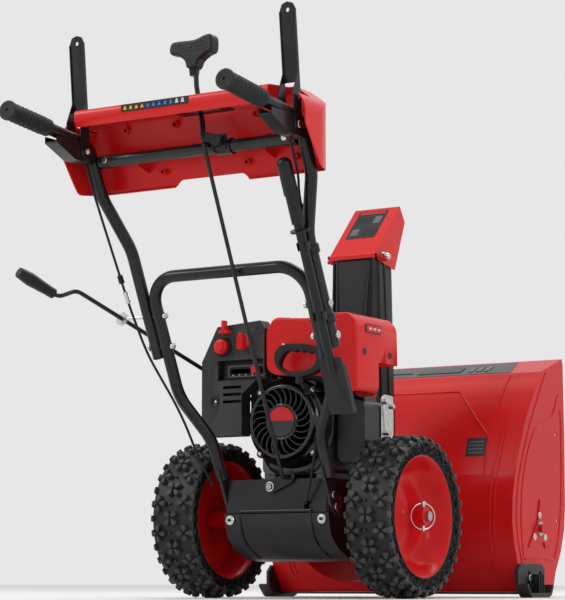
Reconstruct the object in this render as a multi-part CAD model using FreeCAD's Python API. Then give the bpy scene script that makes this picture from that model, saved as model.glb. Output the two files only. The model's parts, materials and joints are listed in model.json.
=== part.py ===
"""Two stage snowblower: auger housing, chute, engine, friction drive, wheels and handlebars.

Millimetres.  The model is drawn from the wheel axle: +X is the operator's right, +Y points
forward to the auger, +Z is up and the ground is Z = 0.  Each node is moved by FRAME_SHIFT when
it is written, so that the origin is under the middle of the machine's box, on the ground.
"""
import FreeCAD, Part
import math
import os

V = FreeCAD.Vector
X_AXIS = V(1, 0, 0)
Y_AXIS = V(0, 1, 0)
Z_AXIS = V(0, 0, 1)
FRAME_SHIFT = V(31.0815, 39.7625, 0)

# ---- driving dimensions -------------------------------------------------------------------
WHEEL_R = 165.0            # 13 inch tyre
TYRE_WIDTH = 104.0         # 4.1 inch tyre
WHEEL_X = 233.0            # middle of each wheel from the machine's midplane
AXLE_R = 9.5
AXLE_Z = WHEEL_R

HOUSING_X = 310.0          # outer faces of the auger housing
SHEET = 3.0
MOUTH_Y = 621.0            # front edge of the auger housing
AUGER_Y = 477.0
AUGER_Z = 150.0
AUGER_R = 122.0
AUGER_SHAFT_R = 9.5

DRUM_BACK_Y = 172.0
IMPELLER_Z = 178.0
DRUM_R = 143.0
IMPELLER_R = 135.0
CHUTE_Y = 244.0            # turning axis of the chute

CHASSIS_X = 121.0          # outer faces of the chassis side plates
CHASSIS_BACK_Y = -114.0
CHASSIS_TOP_Z = 242.0
HEX_Y = -71.0
HEX_Z = 196.0
CRANK_Z = 361.0            # engine crankshaft height
DRIVE_BELT_Y = 102.0       # rear faces of the pulleys of the two belts
AUGER_BELT_Y = 126.0
BELT_COVER_BACK_Y = 98.0
BELT_COVER_FRONT_Y = 150.0

TUBE_R = 12.5
TUBE_BORE_R = 10.7
LEAN = 0.475               # rearward run of the handle per unit of height
U_X = 184.0                # legs of the lower handle
U_FOOT_X = 129.0
U_TOP_Z = 647.0
ARM_X = 209.2              # upper handles beside the lower handle
GRIP_X = 249.0             # upper handles at the grips
BEND_Y = -437.0            # where each upper handle turns to the rear
BEND_Z = 907.0
GRIP_END_Y = -699.0
GRIP_END_Z = 932.0

LEVER_Y = -468.0           # pivot of each clutch lever
LEVER_Z = 888.0
LEVER_LEAN = 6.0           # degrees
CROSSBAR_Y = -417.0
CROSSBAR_Z = 875.0

BOLT_R = 4.0
HOLE_R = 4.5
BUSH_GAP = 0.05            # running clearance of a shaft in its bush


# ---- helpers ------------------------------------------------------------------------------
def box(x0, x1, y0, y1, z0, z1):
    """A block between two corners."""
    return Part.makeBox(x1 - x0, y1 - y0, z1 - z0, V(x0, y0, z0))


def rod(x, y, z, radius, length, axis):
    """A round bar from a point along an axis."""
    return Part.makeCylinder(radius, length, V(x, y, z), axis)


def ring(x, y, z, outer, inner, length, axis):
    """A round bar with a round hole through it."""
    hole = Part.makeCylinder(inner, length + 2, V(x, y, z) - axis, axis)
    return rod(x, y, z, outer, length, axis).cut(hole)


def bar_between(start, end, radius):
    """A round bar between two points."""
    run = V(*end) - V(*start)
    return Part.makeCylinder(radius, run.Length, V(*start), run)


def prism_x(points, x0, x1):
    """A closed outline of (y, z) points, drawn out along X."""
    loop = [V(x0, y, z) for y, z in points]
    face = Part.Face(Part.makePolygon(loop + loop[:1]))
    return face.extrude(V(x1 - x0, 0, 0))


def prism_y(points, y0, y1):
    """A closed outline of (x, z) points, drawn out along Y."""
    loop = [V(x, y0, z) for x, z in points]
    face = Part.Face(Part.makePolygon(loop + loop[:1]))
    return face.extrude(V(0, y1 - y0, 0))


def prism_z(points, z0, z1):
    """A closed outline of (x, y) points, drawn out along Z."""
    loop = [V(x, y, z0) for x, y in points]
    face = Part.Face(Part.makePolygon(loop + loop[:1]))
    return face.extrude(V(0, 0, z1 - z0))


def path_wire(points, radii):
    """Straight runs through the points, joined by tangent arcs of the given radii."""
    pts = [V(*p) for p in points]
    edges = []
    start = pts[0]
    for i in range(1, len(pts) - 1):
        back = (pts[i - 1] - pts[i]).normalize()
        ahead = (pts[i + 1] - pts[i]).normalize()
        half = back.getAngle(ahead) / 2
        reach = radii[i - 1] / math.tan(half)
        into = pts[i] + back * reach
        out = pts[i] + ahead * reach
        middle_way = (back + ahead).normalize()
        centre = pts[i] + middle_way * (radii[i - 1] / math.sin(half))
        top = centre - middle_way * radii[i - 1]
        edges.append(Part.LineSegment(start, into).toShape())
        edges.append(Part.Arc(into, top, out).toShape())
        start = out
    edges.append(Part.LineSegment(start, pts[-1]).toShape())
    return Part.Wire(edges)


def pipe(points, radii, radius):
    """A round bar bent along a path."""
    spine = path_wire(points, radii)
    start = V(*points[0])
    circle = Part.Wire(Part.makeCircle(radius, start, V(*points[1]) - start))
    return spine.makePipeShell([circle], True, False)


def tube(points, radii):
    """A handlebar tube bent along a path."""
    return pipe(points, radii, TUBE_R).cut(pipe(points, radii, TUBE_BORE_R))


def cable_radii(points):
    """The largest easy arc at each inner point of a cable's route."""
    pts = [V(*p) for p in points]
    radii = []
    for a, b, c in zip(pts, pts[1:], pts[2:]):
        turn = (b - a).getAngle(c - b)
        radii.append(0.45 * min((b - a).Length, (c - b).Length) / math.tan(turn / 2))
    return radii


def revolve(points, base, axis, radial):
    """A closed (radius, along) outline, spun about an axis through base."""
    loop = [base + radial * r + axis * a for r, a in points]
    face = Part.Face(Part.makePolygon(loop + loop[:1]))
    return face.revolve(base, axis, 360)


def fuse(shapes):
    """One solid from touching pieces."""
    return shapes[0].multiFuse(shapes[1:]).removeSplitter()


def cut_all(shape, tools):
    """A shape with every tool taken away."""
    return shape.cut(Part.makeCompound(tools))


def mirrored(shape):
    """The same piece on the other side of the midplane."""
    return shape.mirror(V(0, 0, 0), X_AXIS)


def both_sides(shape):
    """A right-hand piece with its left-hand twin."""
    return [shape, mirrored(shape)]


def save(node, shapes):
    """Write one node as a group of closed solids."""
    if not isinstance(shapes, list):
        shapes = [shapes]
    solids = []
    for shape in shapes:
        solids += shape.Solids
    for solid in solids:
        if solid.Volume < 0:
            solid.reverse()
    group = solids[0] if len(solids) == 1 else Part.makeCompound(solids)
    group = group.translated(FRAME_SHIFT)
    if not group.isValid():
        print("not valid:", node)
    group.exportStep("parts/" + node + ".step")
    low = group.BoundBox
    print("%-20s solids %2d  volume %9.0f  x %6.0f %6.0f  y %6.0f %6.0f  z %5.0f %5.0f"
          % (node, len(solids), group.Volume, low.XMin, low.XMax, low.YMin, low.YMax,
             low.ZMin, low.ZMax))


# ---- auger housing ------------------------------------------------------------------------
def housing_outline():
    """Side outline of the housing's inside, from the top front corner round to the bottom."""
    return [(613, 533), (509, 497), (460, 441), (420, 385), (390, 325), (364, 267), (349, 214),
            (346, 160), (354, 116), (373, 67), (397, 36), (409, 12)]


def side_outline():
    """Outline of a side plate."""
    front = [(544, 9), (562, 56), (591, 100), (611, 149), (619, 205), (MOUTH_Y, 355), (618, 524),
             (613, 536)]
    back = [(509, 500), (457, 443), (417, 387), (387, 327), (361, 268), (346, 214), (343, 160),
            (351, 115), (370, 65), (394, 34), (406, 9)]
    return front + back


PLATE_HOLES = [(574.0, 170.0), (574.0, 361.0)]


def make_side_plate():
    """Right side plate with the shaft hole, shoe holes and two open holes at the front."""
    plate = prism_x(side_outline(), HOUSING_X - SHEET, HOUSING_X)
    tools = [rod(HOUSING_X - 10, AUGER_Y, AUGER_Z, 16.0, 20, X_AXIS)]
    for y, z in PLATE_HOLES + SHOE_BOLTS + BEARING_BOLTS:
        tools.append(rod(HOUSING_X - 10, y, z, HOLE_R, 20, X_AXIS))
    return cut_all(plate, tools)


BEARING_BOLTS = [(477.0, 179.0), (450.0, 131.0), (504.0, 131.0)]
SHOE_BOLTS = [(408.0, 42.0), (464.0, 42.0)]


def make_back_sheet():
    """Bent sheet across the back and top, with the impeller opening."""
    inside = housing_outline()
    outside = []
    for y, z in inside:
        outside.append((y - 2.6, z + 1.6) if z > 160 else (y - 2.8, z - 1.0))
    outside[0] = (613, 536)
    outside[-1] = (406, 12)
    half = HOUSING_X - SHEET
    sheet = prism_x(inside + outside[::-1], -half, half)
    opening = rod(0, 300, IMPELLER_Z, DRUM_R - SHEET, 200, Y_AXIS)
    return sheet.cut(opening)


def housing_fill():
    """Everything inside and in front of the back sheet's outer face."""
    inside = housing_outline()
    block = [(y - 2.9, z) for y, z in inside[2:]] + [(900, 12), (900, 600), (613, 600)]
    return prism_x(block, -400, 400)


def make_drum():
    """Impeller housing with the round chute collar on top."""
    wall = rod(0, DRUM_BACK_Y, IMPELLER_Z, DRUM_R, 300, Y_AXIS)
    collar = rod(0, CHUTE_Y, IMPELLER_Z, 70, 335 - IMPELLER_Z, Z_AXIS)
    flange = rod(0, CHUTE_Y, 331, 78, 4, Z_AXIS)
    body = fuse([wall, collar, flange]).cut(housing_fill())
    inside = rod(0, DRUM_BACK_Y + SHEET, IMPELLER_Z, DRUM_R - SHEET, 400, Y_AXIS)
    throat = rod(0, CHUTE_Y, IMPELLER_Z, 67, 300, Z_AXIS)
    shaft_hole = rod(0, DRUM_BACK_Y - 5, IMPELLER_Z, 13, 20, Y_AXIS)
    return cut_all(body, [inside, throat, shaft_hole])


def make_scraper():
    """Wear bar along the bottom edge of the housing."""
    bar = box(-HOUSING_X + 4, HOUSING_X - 4, 400, 440, 7, 11.8)
    return bar


def make_skid_shoe():
    """Right skid shoe: turned-up ends, a sole and a slotted upright plate."""
    outline = [(351, 26), (372, 4), (380, 0), (462, 0), (474, 4), (487, 24), (487, 60), (475, 72),
               (366, 72), (351, 58)]
    shoe = prism_x(outline, HOUSING_X + 0.2, HOUSING_X + 8)
    sole_outline = [(351, 26), (372, 4), (380, 0), (462, 0), (474, 4), (487, 24), (481, 28),
                    (468, 10), (372, 10), (357, 30)]
    sole = prism_x(sole_outline, HOUSING_X + 0.2, HOUSING_X + 30)
    ribs = [box(HOUSING_X + 7, HOUSING_X + 26, y, y + 4, 8, 50) for y in (420, 431, 442)]
    shoe = fuse([shoe, sole] + ribs)
    slots = []
    for y, z in SHOE_BOLTS:
        slots.append(box(HOUSING_X - 5, HOUSING_X + 12, y - HOLE_R, y + HOLE_R, z - 12, z + 14))
    return cut_all(shoe, slots)


def make_gearbox():
    """Hollow auger gearbox with bores for the auger shaft and the impeller shaft."""
    outer = fuse([rod(-30, AUGER_Y, AUGER_Z, 40, 60, X_AXIS),
                  rod(0, AUGER_Y - 62, IMPELLER_Z, 24, 104, Y_AXIS),
                  rod(-44, AUGER_Y, AUGER_Z, 19, 88, X_AXIS)])
    cavity = fuse([rod(-22, AUGER_Y, AUGER_Z, 32, 44, X_AXIS),
                   rod(0, AUGER_Y - 44, IMPELLER_Z, 17, 72, Y_AXIS)])
    bores = [rod(-60, AUGER_Y, AUGER_Z, AUGER_SHAFT_R + BUSH_GAP, 120, X_AXIS),
             rod(0, AUGER_Y - 90, IMPELLER_Z, 9 + BUSH_GAP, 100, Y_AXIS)]
    return cut_all(outer, [cavity] + bores)


# ---- auger and impeller -------------------------------------------------------------------
def make_auger_shaft():
    """Cross shaft with the worm wheel at its middle."""
    shaft = rod(-HOUSING_X - 12, AUGER_Y, AUGER_Z, AUGER_SHAFT_R, 2 * HOUSING_X + 24, X_AXIS)
    wheel = rod(-8, AUGER_Y, AUGER_Z, 18.5, 16, X_AXIS)
    return fuse([shaft, wheel])


def ribbon_auger():
    """Right ribbon auger, its arms bolted from the tube to the ribbon."""
    sleeve = ring(52, AUGER_Y, AUGER_Z, 19, AUGER_SHAFT_R, 244, X_AXIS)
    pitch = 190.0
    length = 222.0
    mid_r = AUGER_R - 17
    helix = Part.makeLongHelix(pitch, length, mid_r, 0, False)
    profile = Part.makePolygon([V(mid_r - 17, 0, -2), V(mid_r + 17, 0, -2), V(mid_r + 17, 0, 2),
                                V(mid_r - 17, 0, 2), V(mid_r - 17, 0, -2)])
    ribbon = Part.Wire(helix.Edges).makePipeShell([profile], True, True)
    pieces = [ribbon]
    for step in range(4):
        along = 10 + step * (length - 20) / 3
        turn = 360 * along / pitch
        arm = Part.makeBox(mid_r + 6 - 15, 10, 7, V(15, -5, -3.5))
        arm.rotate(V(0, 0, 0), Z_AXIS, turn)
        pieces.append(arm.translated(V(0, 0, along)))
    screw = fuse(pieces)
    screw.rotate(V(0, 0, 0), Y_AXIS, 90)
    screw.translate(V(60, AUGER_Y, AUGER_Z))
    return fuse([sleeve, screw])


def make_impeller():
    """Four bladed thrower on a hub."""
    hub = ring(0, 210, IMPELLER_Z, 24, 9, 100, Y_AXIS)
    pieces = [hub]
    for quarter in range(4):
        blade = box(-2.5, 2.5, 215, 300, IMPELLER_Z + 20, IMPELLER_Z + IMPELLER_R - 6)
        tip = box(-2.5, 24, 215, 300, IMPELLER_Z + IMPELLER_R - 20, IMPELLER_Z + IMPELLER_R - 15)
        arm = fuse([blade, tip])
        arm.rotate(V(0, 0, IMPELLER_Z), Y_AXIS, 90 * quarter + 20)
        pieces.append(arm)
    return fuse(pieces)


def make_impeller_shaft():
    """Impeller shaft with the auger belt pulley behind and the worm in front."""
    start = AUGER_BELT_Y - 1
    shaft = rod(0, start, IMPELLER_Z, 9, AUGER_Y + 24 - start, Y_AXIS)
    worm = rod(0, AUGER_Y - 14, IMPELLER_Z, 9.2, 28, Y_AXIS)
    pulley = revolve(pulley_outline(70), V(0, AUGER_BELT_Y, IMPELLER_Z), Y_AXIS, X_AXIS)
    return fuse([shaft, worm, pulley])


def pulley_outline(radius):
    """(radius, along) outline of a grooved belt pulley."""
    return [(0, 0), (radius, 0), (radius, 3), (radius - 8, 3), (radius - 8, 13), (radius, 13),
            (radius, 16), (0, 16)]


# ---- chassis and drive --------------------------------------------------------------------
HANDLE_BOLT_Z = (184.0, 208.0)


def handle_y(z):
    """Where the sloping handle line stands at a height."""
    return -101.0 - LEAN * (z - 200.0)


def make_frame_box():
    """Welded chassis: two side plates, a top plate with the belt slot, and a front plate."""
    outline = [(CHASSIS_BACK_Y, CHASSIS_TOP_Z), (DRUM_BACK_Y, CHASSIS_TOP_Z), (DRUM_BACK_Y, 86),
               (8, 84), (-38, 88), (-80, 109), (-102, 130), (CHASSIS_BACK_Y, 172)]
    side = prism_x(outline, CHASSIS_X - SHEET, CHASSIS_X)
    top = box(-CHASSIS_X, CHASSIS_X, CHASSIS_BACK_Y, DRUM_BACK_Y, CHASSIS_TOP_Z - SHEET,
              CHASSIS_TOP_Z)
    front = box(-CHASSIS_X, CHASSIS_X, DRUM_BACK_Y - SHEET, DRUM_BACK_Y, 86, CHASSIS_TOP_Z)
    body = fuse([side, mirrored(side), top, front])
    tools = [box(-85, 85, 99, 146, CHASSIS_TOP_Z - 10, CHASSIS_TOP_Z + 5),
             rod(-150, 0, AXLE_Z, AXLE_R + 6, 300, X_AXIS),
             rod(-150, HEX_Y, HEX_Z, 14, 300, X_AXIS),
             rod(0, DRUM_BACK_Y - 10, IMPELLER_Z, 13, 20, Y_AXIS)]
    for z in HANDLE_BOLT_Z:
        tools.append(rod(-150, handle_y(z), z, HOLE_R, 300, X_AXIS))
    return cut_all(body, tools)


def make_rear_plate():
    """Cover plate across the back of the chassis, with the cable slot."""
    plate = box(-118, 118, CHASSIS_BACK_Y - SHEET, CHASSIS_BACK_Y, 174, CHASSIS_TOP_Z)
    tools = [rod(SHIFT_PIVOT_X, -130, SHIFT_PIVOT_Z, HOLE_R, 30, Y_AXIS),
             box(66, 78, -130, -100, 180, 196)]
    return cut_all(plate, tools)


def make_bottom_cover():
    """Curved sheet under the chassis, open to the front."""
    outer = [(-121, 172), (-118, 150), (-107, 124), (-84, 102), (-40, 81), (8, 76), (150, 76)]
    inner = [(150, 79), (8, 79), (-39, 84), (-82, 104.5), (-104.5, 126), (-115, 151), (-118, 172)]
    sheet = prism_x(outer + inner, -125, 125)
    tools = [rod(x, -130, 160, 3.2, 30, Y_AXIS) for x in (-110, 110)]
    return cut_all(sheet, tools)


def make_axle():
    """Cross axle with a hole for each wheel pin."""
    axle = rod(-292, 0, AXLE_Z, AXLE_R, 584, X_AXIS)
    return cut_all(axle, [pin_hole(1), pin_hole(-1)])


PIN_X = 276.0


def pin_hole(side):
    """Cross hole for the wheel pin."""
    return rod(side * PIN_X, 0, AXLE_Z - 40, 3.6, 80, Z_AXIS)


def toothed_disc(x, y, z, pitch_r, teeth, depth, bore, width, phase):
    """A spur gear with trapezoid teeth, its axis along X."""
    points = []
    root = pitch_r - depth * 0.6
    tip = pitch_r + depth * 0.4
    step = 2 * math.pi / teeth
    for i in range(teeth):
        middle = phase + i * step
        for part, radius in ((-0.25, root), (-0.09, tip), (0.09, tip), (0.25, root)):
            angle = middle + part * step
            points.append((y + radius * math.cos(angle), z + radius * math.sin(angle)))
    gear = prism_x(points, x, x + width)
    return gear.cut(rod(x - 1, y, z, bore, width + 2, X_AXIS))


GEAR_X = 66.0
AXLE_TEETH = 48
PINION_TEETH = 12


def gear_module():
    """Tooth size that fits the distance between the axle and the hex shaft."""
    distance = math.hypot(HEX_Y, HEX_Z - AXLE_Z)
    return 2 * distance / (AXLE_TEETH + PINION_TEETH)


def make_axle_gear():
    """Large gear on the axle."""
    pitch_r = gear_module() * AXLE_TEETH / 2
    to_pinion = math.atan2(HEX_Z - AXLE_Z, HEX_Y)
    return toothed_disc(GEAR_X, 0, AXLE_Z, pitch_r, AXLE_TEETH, 4.2, AXLE_R, 12, to_pinion)


def make_hex_shaft():
    """Six sided shaft with its pinion and round ends."""
    across = 16.0
    corner = across / math.sqrt(3)
    points = []
    for i in range(6):
        angle = math.radians(60 * i)
        points.append((HEX_Y + corner * math.cos(angle), HEX_Z + corner * math.sin(angle)))
    shaft = prism_x(points, -112, 112)
    ends = [rod(-122, HEX_Y, HEX_Z, 6.5, 12, X_AXIS), rod(110, HEX_Y, HEX_Z, 6.5, 12, X_AXIS)]
    pitch_r = gear_module() * PINION_TEETH / 2
    to_gear = math.atan2(AXLE_Z - HEX_Z, -HEX_Y)
    half_step = math.pi / PINION_TEETH
    pinion = toothed_disc(GEAR_X - 2, HEX_Y, HEX_Z, pitch_r, PINION_TEETH, 4.2, 5, 16,
                          to_gear + half_step)
    return fuse([shaft] + ends + [pinion])


FRICTION_WHEEL_R = 42.0


def make_friction_wheel():
    """Rubber edged wheel that slides along the hex shaft."""
    outline = [(0, 0), (18, 0), (18, 10), (37, 10), (FRICTION_WHEEL_R, 12), (FRICTION_WHEEL_R, 20),
               (37, 22), (18, 22), (18, 32), (0, 32)]
    wheel = revolve(outline, V(-36, HEX_Y, HEX_Z), X_AXIS, Y_AXIS)
    corner = 16.3 / math.sqrt(3)
    points = []
    for i in range(6):
        angle = math.radians(60 * i)
        points.append((HEX_Y + corner * math.cos(angle), HEX_Z + corner * math.sin(angle)))
    return wheel.cut(prism_x(points, -40, 0))


def make_friction_disc():
    """Drive disc facing the friction wheel, with its shaft and belt pulley."""
    face_y = HEX_Y + FRICTION_WHEEL_R + 1.0
    disc = rod(0, face_y, HEX_Z, 42, 7, Y_AXIS)
    shaft = rod(0, face_y + 6, HEX_Z, 8, DRIVE_BELT_Y + 16 - face_y - 6, Y_AXIS)
    pulley = revolve(pulley_outline(58), V(0, DRIVE_BELT_Y, HEX_Z), Y_AXIS, X_AXIS)
    return fuse([disc, shaft, pulley])


def make_bushes():
    """Bearing bushes of the wheel axle, the hex shaft and the auger shaft."""
    bushes = []
    for x, y, z, outer, bore in ((CHASSIS_X - 6, 0, AXLE_Z, AXLE_R + 6, AXLE_R),
                                 (CHASSIS_X - 6, HEX_Y, HEX_Z, 14, 6.5)):
        bushes += both_sides(ring(x, y, z, outer, bore + BUSH_GAP, 6, X_AXIS))
    auger_bush = ring(HOUSING_X - 4, AUGER_Y, AUGER_Z, 16, AUGER_SHAFT_R + BUSH_GAP, 9, X_AXIS)
    bushes += both_sides(auger_bush)
    bushes.append(ring(0, DRUM_BACK_Y - 6, IMPELLER_Z, 13, 9 + BUSH_GAP, 11, Y_AXIS))
    return bushes


# ---- wheels -------------------------------------------------------------------------------
def make_rim():
    """Right wheel rim: pressed dish, flanges and a hub tube."""
    outer = WHEEL_X + 40
    inner = WHEEL_X - 40
    barrel = ring(inner, 0, AXLE_Z, 100, 97, outer - inner, X_AXIS)
    flanges = [ring(inner - 3, 0, AXLE_Z, 122, 97, 3, X_AXIS),
               ring(outer, 0, AXLE_Z, 122, 97, 3, X_AXIS)]
    dish = revolve([(AXLE_R + 6, 0), (52, 0), (70, 16), (98, 16), (98, 19), (69, 19), (51, 3),
                    (AXLE_R + 6, 3)], V(WHEEL_X - 12, 0, AXLE_Z), X_AXIS, Y_AXIS)
    hub = ring(WHEEL_X - 44, 0, AXLE_Z, AXLE_R + 7, AXLE_R, 96, X_AXIS)
    body = fuse([barrel, dish, hub] + flanges)
    holes = [pin_hole(1)]
    for i in range(8):
        angle = math.radians(45 * i + 22.5)
        y = 62 * math.cos(angle)
        z = AXLE_Z + 62 * math.sin(angle)
        holes.append(rod(WHEEL_X - 20, y, z, 9, 40, X_AXIS))
    return cut_all(body, holes)


def make_tyre():
    """Right pneumatic tyre."""
    half = TYRE_WIDTH / 2
    outline = [(112, -30), (148, -40), (152, 0), (148, 40), (112, 30), (100.5, 36.5),
               (100.5, 39.5), (123, 43.5), (134, half), (152, half), (WHEEL_R, 40),
               (WHEEL_R, -40), (152, -half), (134, -half), (123, -43.5), (100.5, -39.5),
               (100.5, -36.5)]
    tyre = revolve(outline, V(WHEEL_X, 0, AXLE_Z), X_AXIS, Y_AXIS)
    flange_room = ring(WHEEL_X - 44, 0, AXLE_Z, 122.4, 90, 88.2, X_AXIS)
    between_flanges = ring(WHEEL_X - 39.9, 0, AXLE_Z, 130, 80, 79.8, X_AXIS)
    return tyre.cut(flange_room.cut(between_flanges))


def make_wheel_pin():
    """Lynch pin through the right hub: a straight pin and a round clip."""
    pin = rod(PIN_X, 0, AXLE_Z - 30, 3.5, 60, Z_AXIS)
    clip = Part.makeTorus(24, 1.6, V(PIN_X + 14, 0, AXLE_Z), X_AXIS)
    head = box(PIN_X - 4, PIN_X + 16, -4, 4, AXLE_Z + 24, AXLE_Z + 30)
    return fuse([pin, head, clip])


# ---- engine -------------------------------------------------------------------------------
RECOIL_Y = -100.0          # rear face of the recoil housing
ENGINE_BACK_Y = -46.0
ENGINE_FRONT_Y = 92.0


def make_engine_block():
    """Crankcase with its base rails, inclined cylinder fins and crankshaft tunnel."""
    crankcase = box(-78, 84, ENGINE_BACK_Y, ENGINE_FRONT_Y, 256, 404)
    crankcase = crankcase.makeFillet(14, [e for e in crankcase.Edges if abs(e.tangentAt(0).y) > 0.9])
    rails = [box(x, x + 26, ENGINE_BACK_Y + 4, ENGINE_FRONT_Y - 4, CHASSIS_TOP_Z, 262)
             for x in (-76, 50)]
    cylinder = box(0, 60, -30, 70, 400, 484)
    fins = [box(-6, 68, -38, 76, z, z + 3) for z in range(412, 484, 11)]
    body = fuse([crankcase, cylinder] + rails + fins)
    bore = rod(0, ENGINE_BACK_Y - 10, CRANK_Z, 11 + BUSH_GAP, 160, Y_AXIS)
    sump = rod(0, -20, CRANK_Z, 62, 96, Y_AXIS)
    return cut_all(body, [bore, sump])


def make_crankshaft():
    """Crankshaft with the flywheel fan behind and two belt grooves in front."""
    shaft = rod(0, -88, CRANK_Z, 11, AUGER_BELT_Y + 17 + 88, Y_AXIS)
    web = rod(14, 18, CRANK_Z, 38, 30, Y_AXIS)
    pieces = [shaft, web]
    for y in (DRIVE_BELT_Y, AUGER_BELT_Y):
        pieces.append(revolve(pulley_outline(34), V(0, y, CRANK_Z), Y_AXIS, X_AXIS))
    return fuse(pieces)


def make_flywheel():
    """Flywheel with fan blades."""
    disc = ring(0, -64, CRANK_Z, 74, 11, 12, Y_AXIS)
    blades = []
    for i in range(12):
        blade = box(-2, 2, -80, -62, CRANK_Z + 40, CRANK_Z + 72)
        blade.rotate(V(0, 0, CRANK_Z), Y_AXIS, 30 * i)
        blades.append(blade)
    return fuse([disc] + blades)


def make_recoil_cover():
    """Recoil starter housing with its slotted grille."""
    shell = revolve([(0, 0), (74, 0), (86, 8), (93, 30), (95, 53), (91, 53), (89, 31), (82, 11),
                     (72, 4), (0, 4)], V(0, RECOIL_Y, CRANK_Z), Y_AXIS, X_AXIS)
    reel = rod(0, RECOIL_Y + 3, CRANK_Z, 30, 5, Y_AXIS)
    mouth = box(47, 73, RECOIL_Y + 2, RECOIL_Y + 24, CRANK_Z + 50, CRANK_Z + 76)
    cover = fuse([shell, reel, mouth])
    top, foot = cord_ends()
    tools = [bar_between(tuple(foot + foot - top), tuple(top), CORD_R + 1.5)]
    for i in range(24):
        slot = box(-2.6, 2.6, RECOIL_Y - 1, RECOIL_Y + 5, CRANK_Z + 40, CRANK_Z + 68)
        slot.rotate(V(0, 0, CRANK_Z), Y_AXIS, 15 * i)
        tools.append(slot)
    return cut_all(cover, tools)


CORD_R = 2.0
HANDLE_AT = V(62, -128, 482)


def cord_ends():
    """Upper and lower end of the short stretch of starter cord that shows."""
    top = V(HANDLE_AT.x, HANDLE_AT.y, HANDLE_AT.z - 46)
    foot = V(HANDLE_AT.x - 2, RECOIL_Y + 10, CRANK_Z + 62)
    return top, foot


def make_starter_handle():
    """Closed loop pull handle with finger waves."""
    outline = [(-56, 8), (-50, 24), (-34, 33), (0, 34), (34, 28), (52, 14), (57, -2), (50, -20),
               (32, -30), (0, -34), (-30, -28), (-50, -12)]
    hole = [(-44, -6), (-35, 12), (-22, 20), (-8, 17), (2, 20), (10, 15), (20, 18), (27, 12),
            (37, 14), (44, 3), (40, -9), (26, -18), (0, -22), (-26, -20), (-38, -15)]
    body = prism_y(outline, -9, 9).cut(prism_y(hole, -12, 12))
    body = body.translated(HANDLE_AT)
    stem = rod(HANDLE_AT.x, HANDLE_AT.y, HANDLE_AT.z - 46, 9, 14, Z_AXIS)
    top, foot = cord_ends()
    clear = bar_between(tuple(foot), tuple(top - (top - foot).normalize()), CORD_R + 0.1)
    return fuse([body, stem]).cut(clear)


def make_starter_cord():
    """Short end of the starter cord between the housing and the pull handle."""
    top, foot = cord_ends()
    end = top - (top - foot).normalize() * 1.0
    return bar_between(tuple(foot), tuple(end), CORD_R)


PANEL_BACK_Y = -96.0
CHOKE_X, CHOKE_Z = -90.0, 531.0
PRIMER_X, PRIMER_Z = -146.0, 524.0
KEY_X, KEY_Z = -135.0, 554.0
THROTTLE_X, THROTTLE_Z = -68.0, 472.0


def make_control_panel():
    """Hollow control cover on the left of the engine, with the air box behind it."""
    outline = [(-199, 370), (-199, 494), (-160, 567), (-54, 575), (-43, 558), (-43, 468), (-99, 422),
               (-99, 336), (-180, 336)]
    inner_outline = [(-196, 371), (-196, 493), (-158, 564), (-56, 572), (-46, 557), (-46, 470),
                     (-102, 424), (-102, 339), (-179, 339)]
    depth = 34
    front_y = PANEL_BACK_Y + depth
    rim = prism_y(outline, PANEL_BACK_Y, front_y)
    hollow = prism_y(inner_outline, PANEL_BACK_Y + 3, front_y - 3)
    air_box = box(-158, -46, front_y - 1, 36, 454, 540)
    air_hollow = box(-155, -49, front_y - 10, 33, 457, 537)
    recess_walls = box(-162, -43, PANEL_BACK_Y + 1, PANEL_BACK_Y + 17, 450, 498)
    body = fuse([rim.cut(hollow), air_box]).cut(air_hollow)
    body = fuse([body, recess_walls.common(rim)])
    tools = [box(-159, -46, PANEL_BACK_Y - 5, PANEL_BACK_Y + 14, 453, 495),
             box(-134, -54, PANEL_BACK_Y + 5, PANEL_BACK_Y + 20, 467, 477),
             rod(CHOKE_X, PANEL_BACK_Y - 10, CHOKE_Z, 4.1, 30, Y_AXIS),
             rod(PRIMER_X, PANEL_BACK_Y - 10, PRIMER_Z, 17, 30, Y_AXIS),
             rod(-166, PANEL_BACK_Y - 10, 410, 11, 30, Y_AXIS),
             box(KEY_X - 7, KEY_X + 7, PANEL_BACK_Y - 10, PANEL_BACK_Y + 10, KEY_Z - 2.4,
                 KEY_Z + 2.4)]
    for z in (438, 423, 408):
        tools.append(box(-146, -100, PANEL_BACK_Y - 5, PANEL_BACK_Y + 10, z - 3, z + 3))
    return cut_all(body, tools)


def make_choke_knob():
    """Pointed turning knob on a short spindle."""
    disc = rod(CHOKE_X, PANEL_BACK_Y - 8, CHOKE_Z, 12, 7.5, Y_AXIS)
    fin = box(CHOKE_X - 5, CHOKE_X + 5, PANEL_BACK_Y - 24, PANEL_BACK_Y - 6, CHOKE_Z - 15,
              CHOKE_Z + 19)
    spindle = rod(CHOKE_X, PANEL_BACK_Y - 6, CHOKE_Z, 4, 18, Y_AXIS)
    return fuse([disc, fin, spindle])


def make_primer():
    """Soft primer button."""
    collar = rod(PRIMER_X, PANEL_BACK_Y - 14, PRIMER_Z, 16.6, 26, Y_AXIS)
    cap = rod(PRIMER_X, PANEL_BACK_Y - 17, PRIMER_Z, 11, 4, Y_AXIS)
    return fuse([collar, cap])


def make_key():
    """Pull-out ignition key."""
    blade = box(KEY_X - 6, KEY_X + 6, PANEL_BACK_Y - 4, PANEL_BACK_Y + 16, KEY_Z - 1.8, KEY_Z + 1.8)
    bow = box(KEY_X - 12, KEY_X + 12, PANEL_BACK_Y - 18, PANEL_BACK_Y - 1, KEY_Z - 3, KEY_Z + 3)
    post = box(KEY_X - 4, KEY_X + 4, PANEL_BACK_Y - 18, PANEL_BACK_Y - 6, KEY_Z, KEY_Z + 24)
    return fuse([blade, bow, post])


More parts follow.
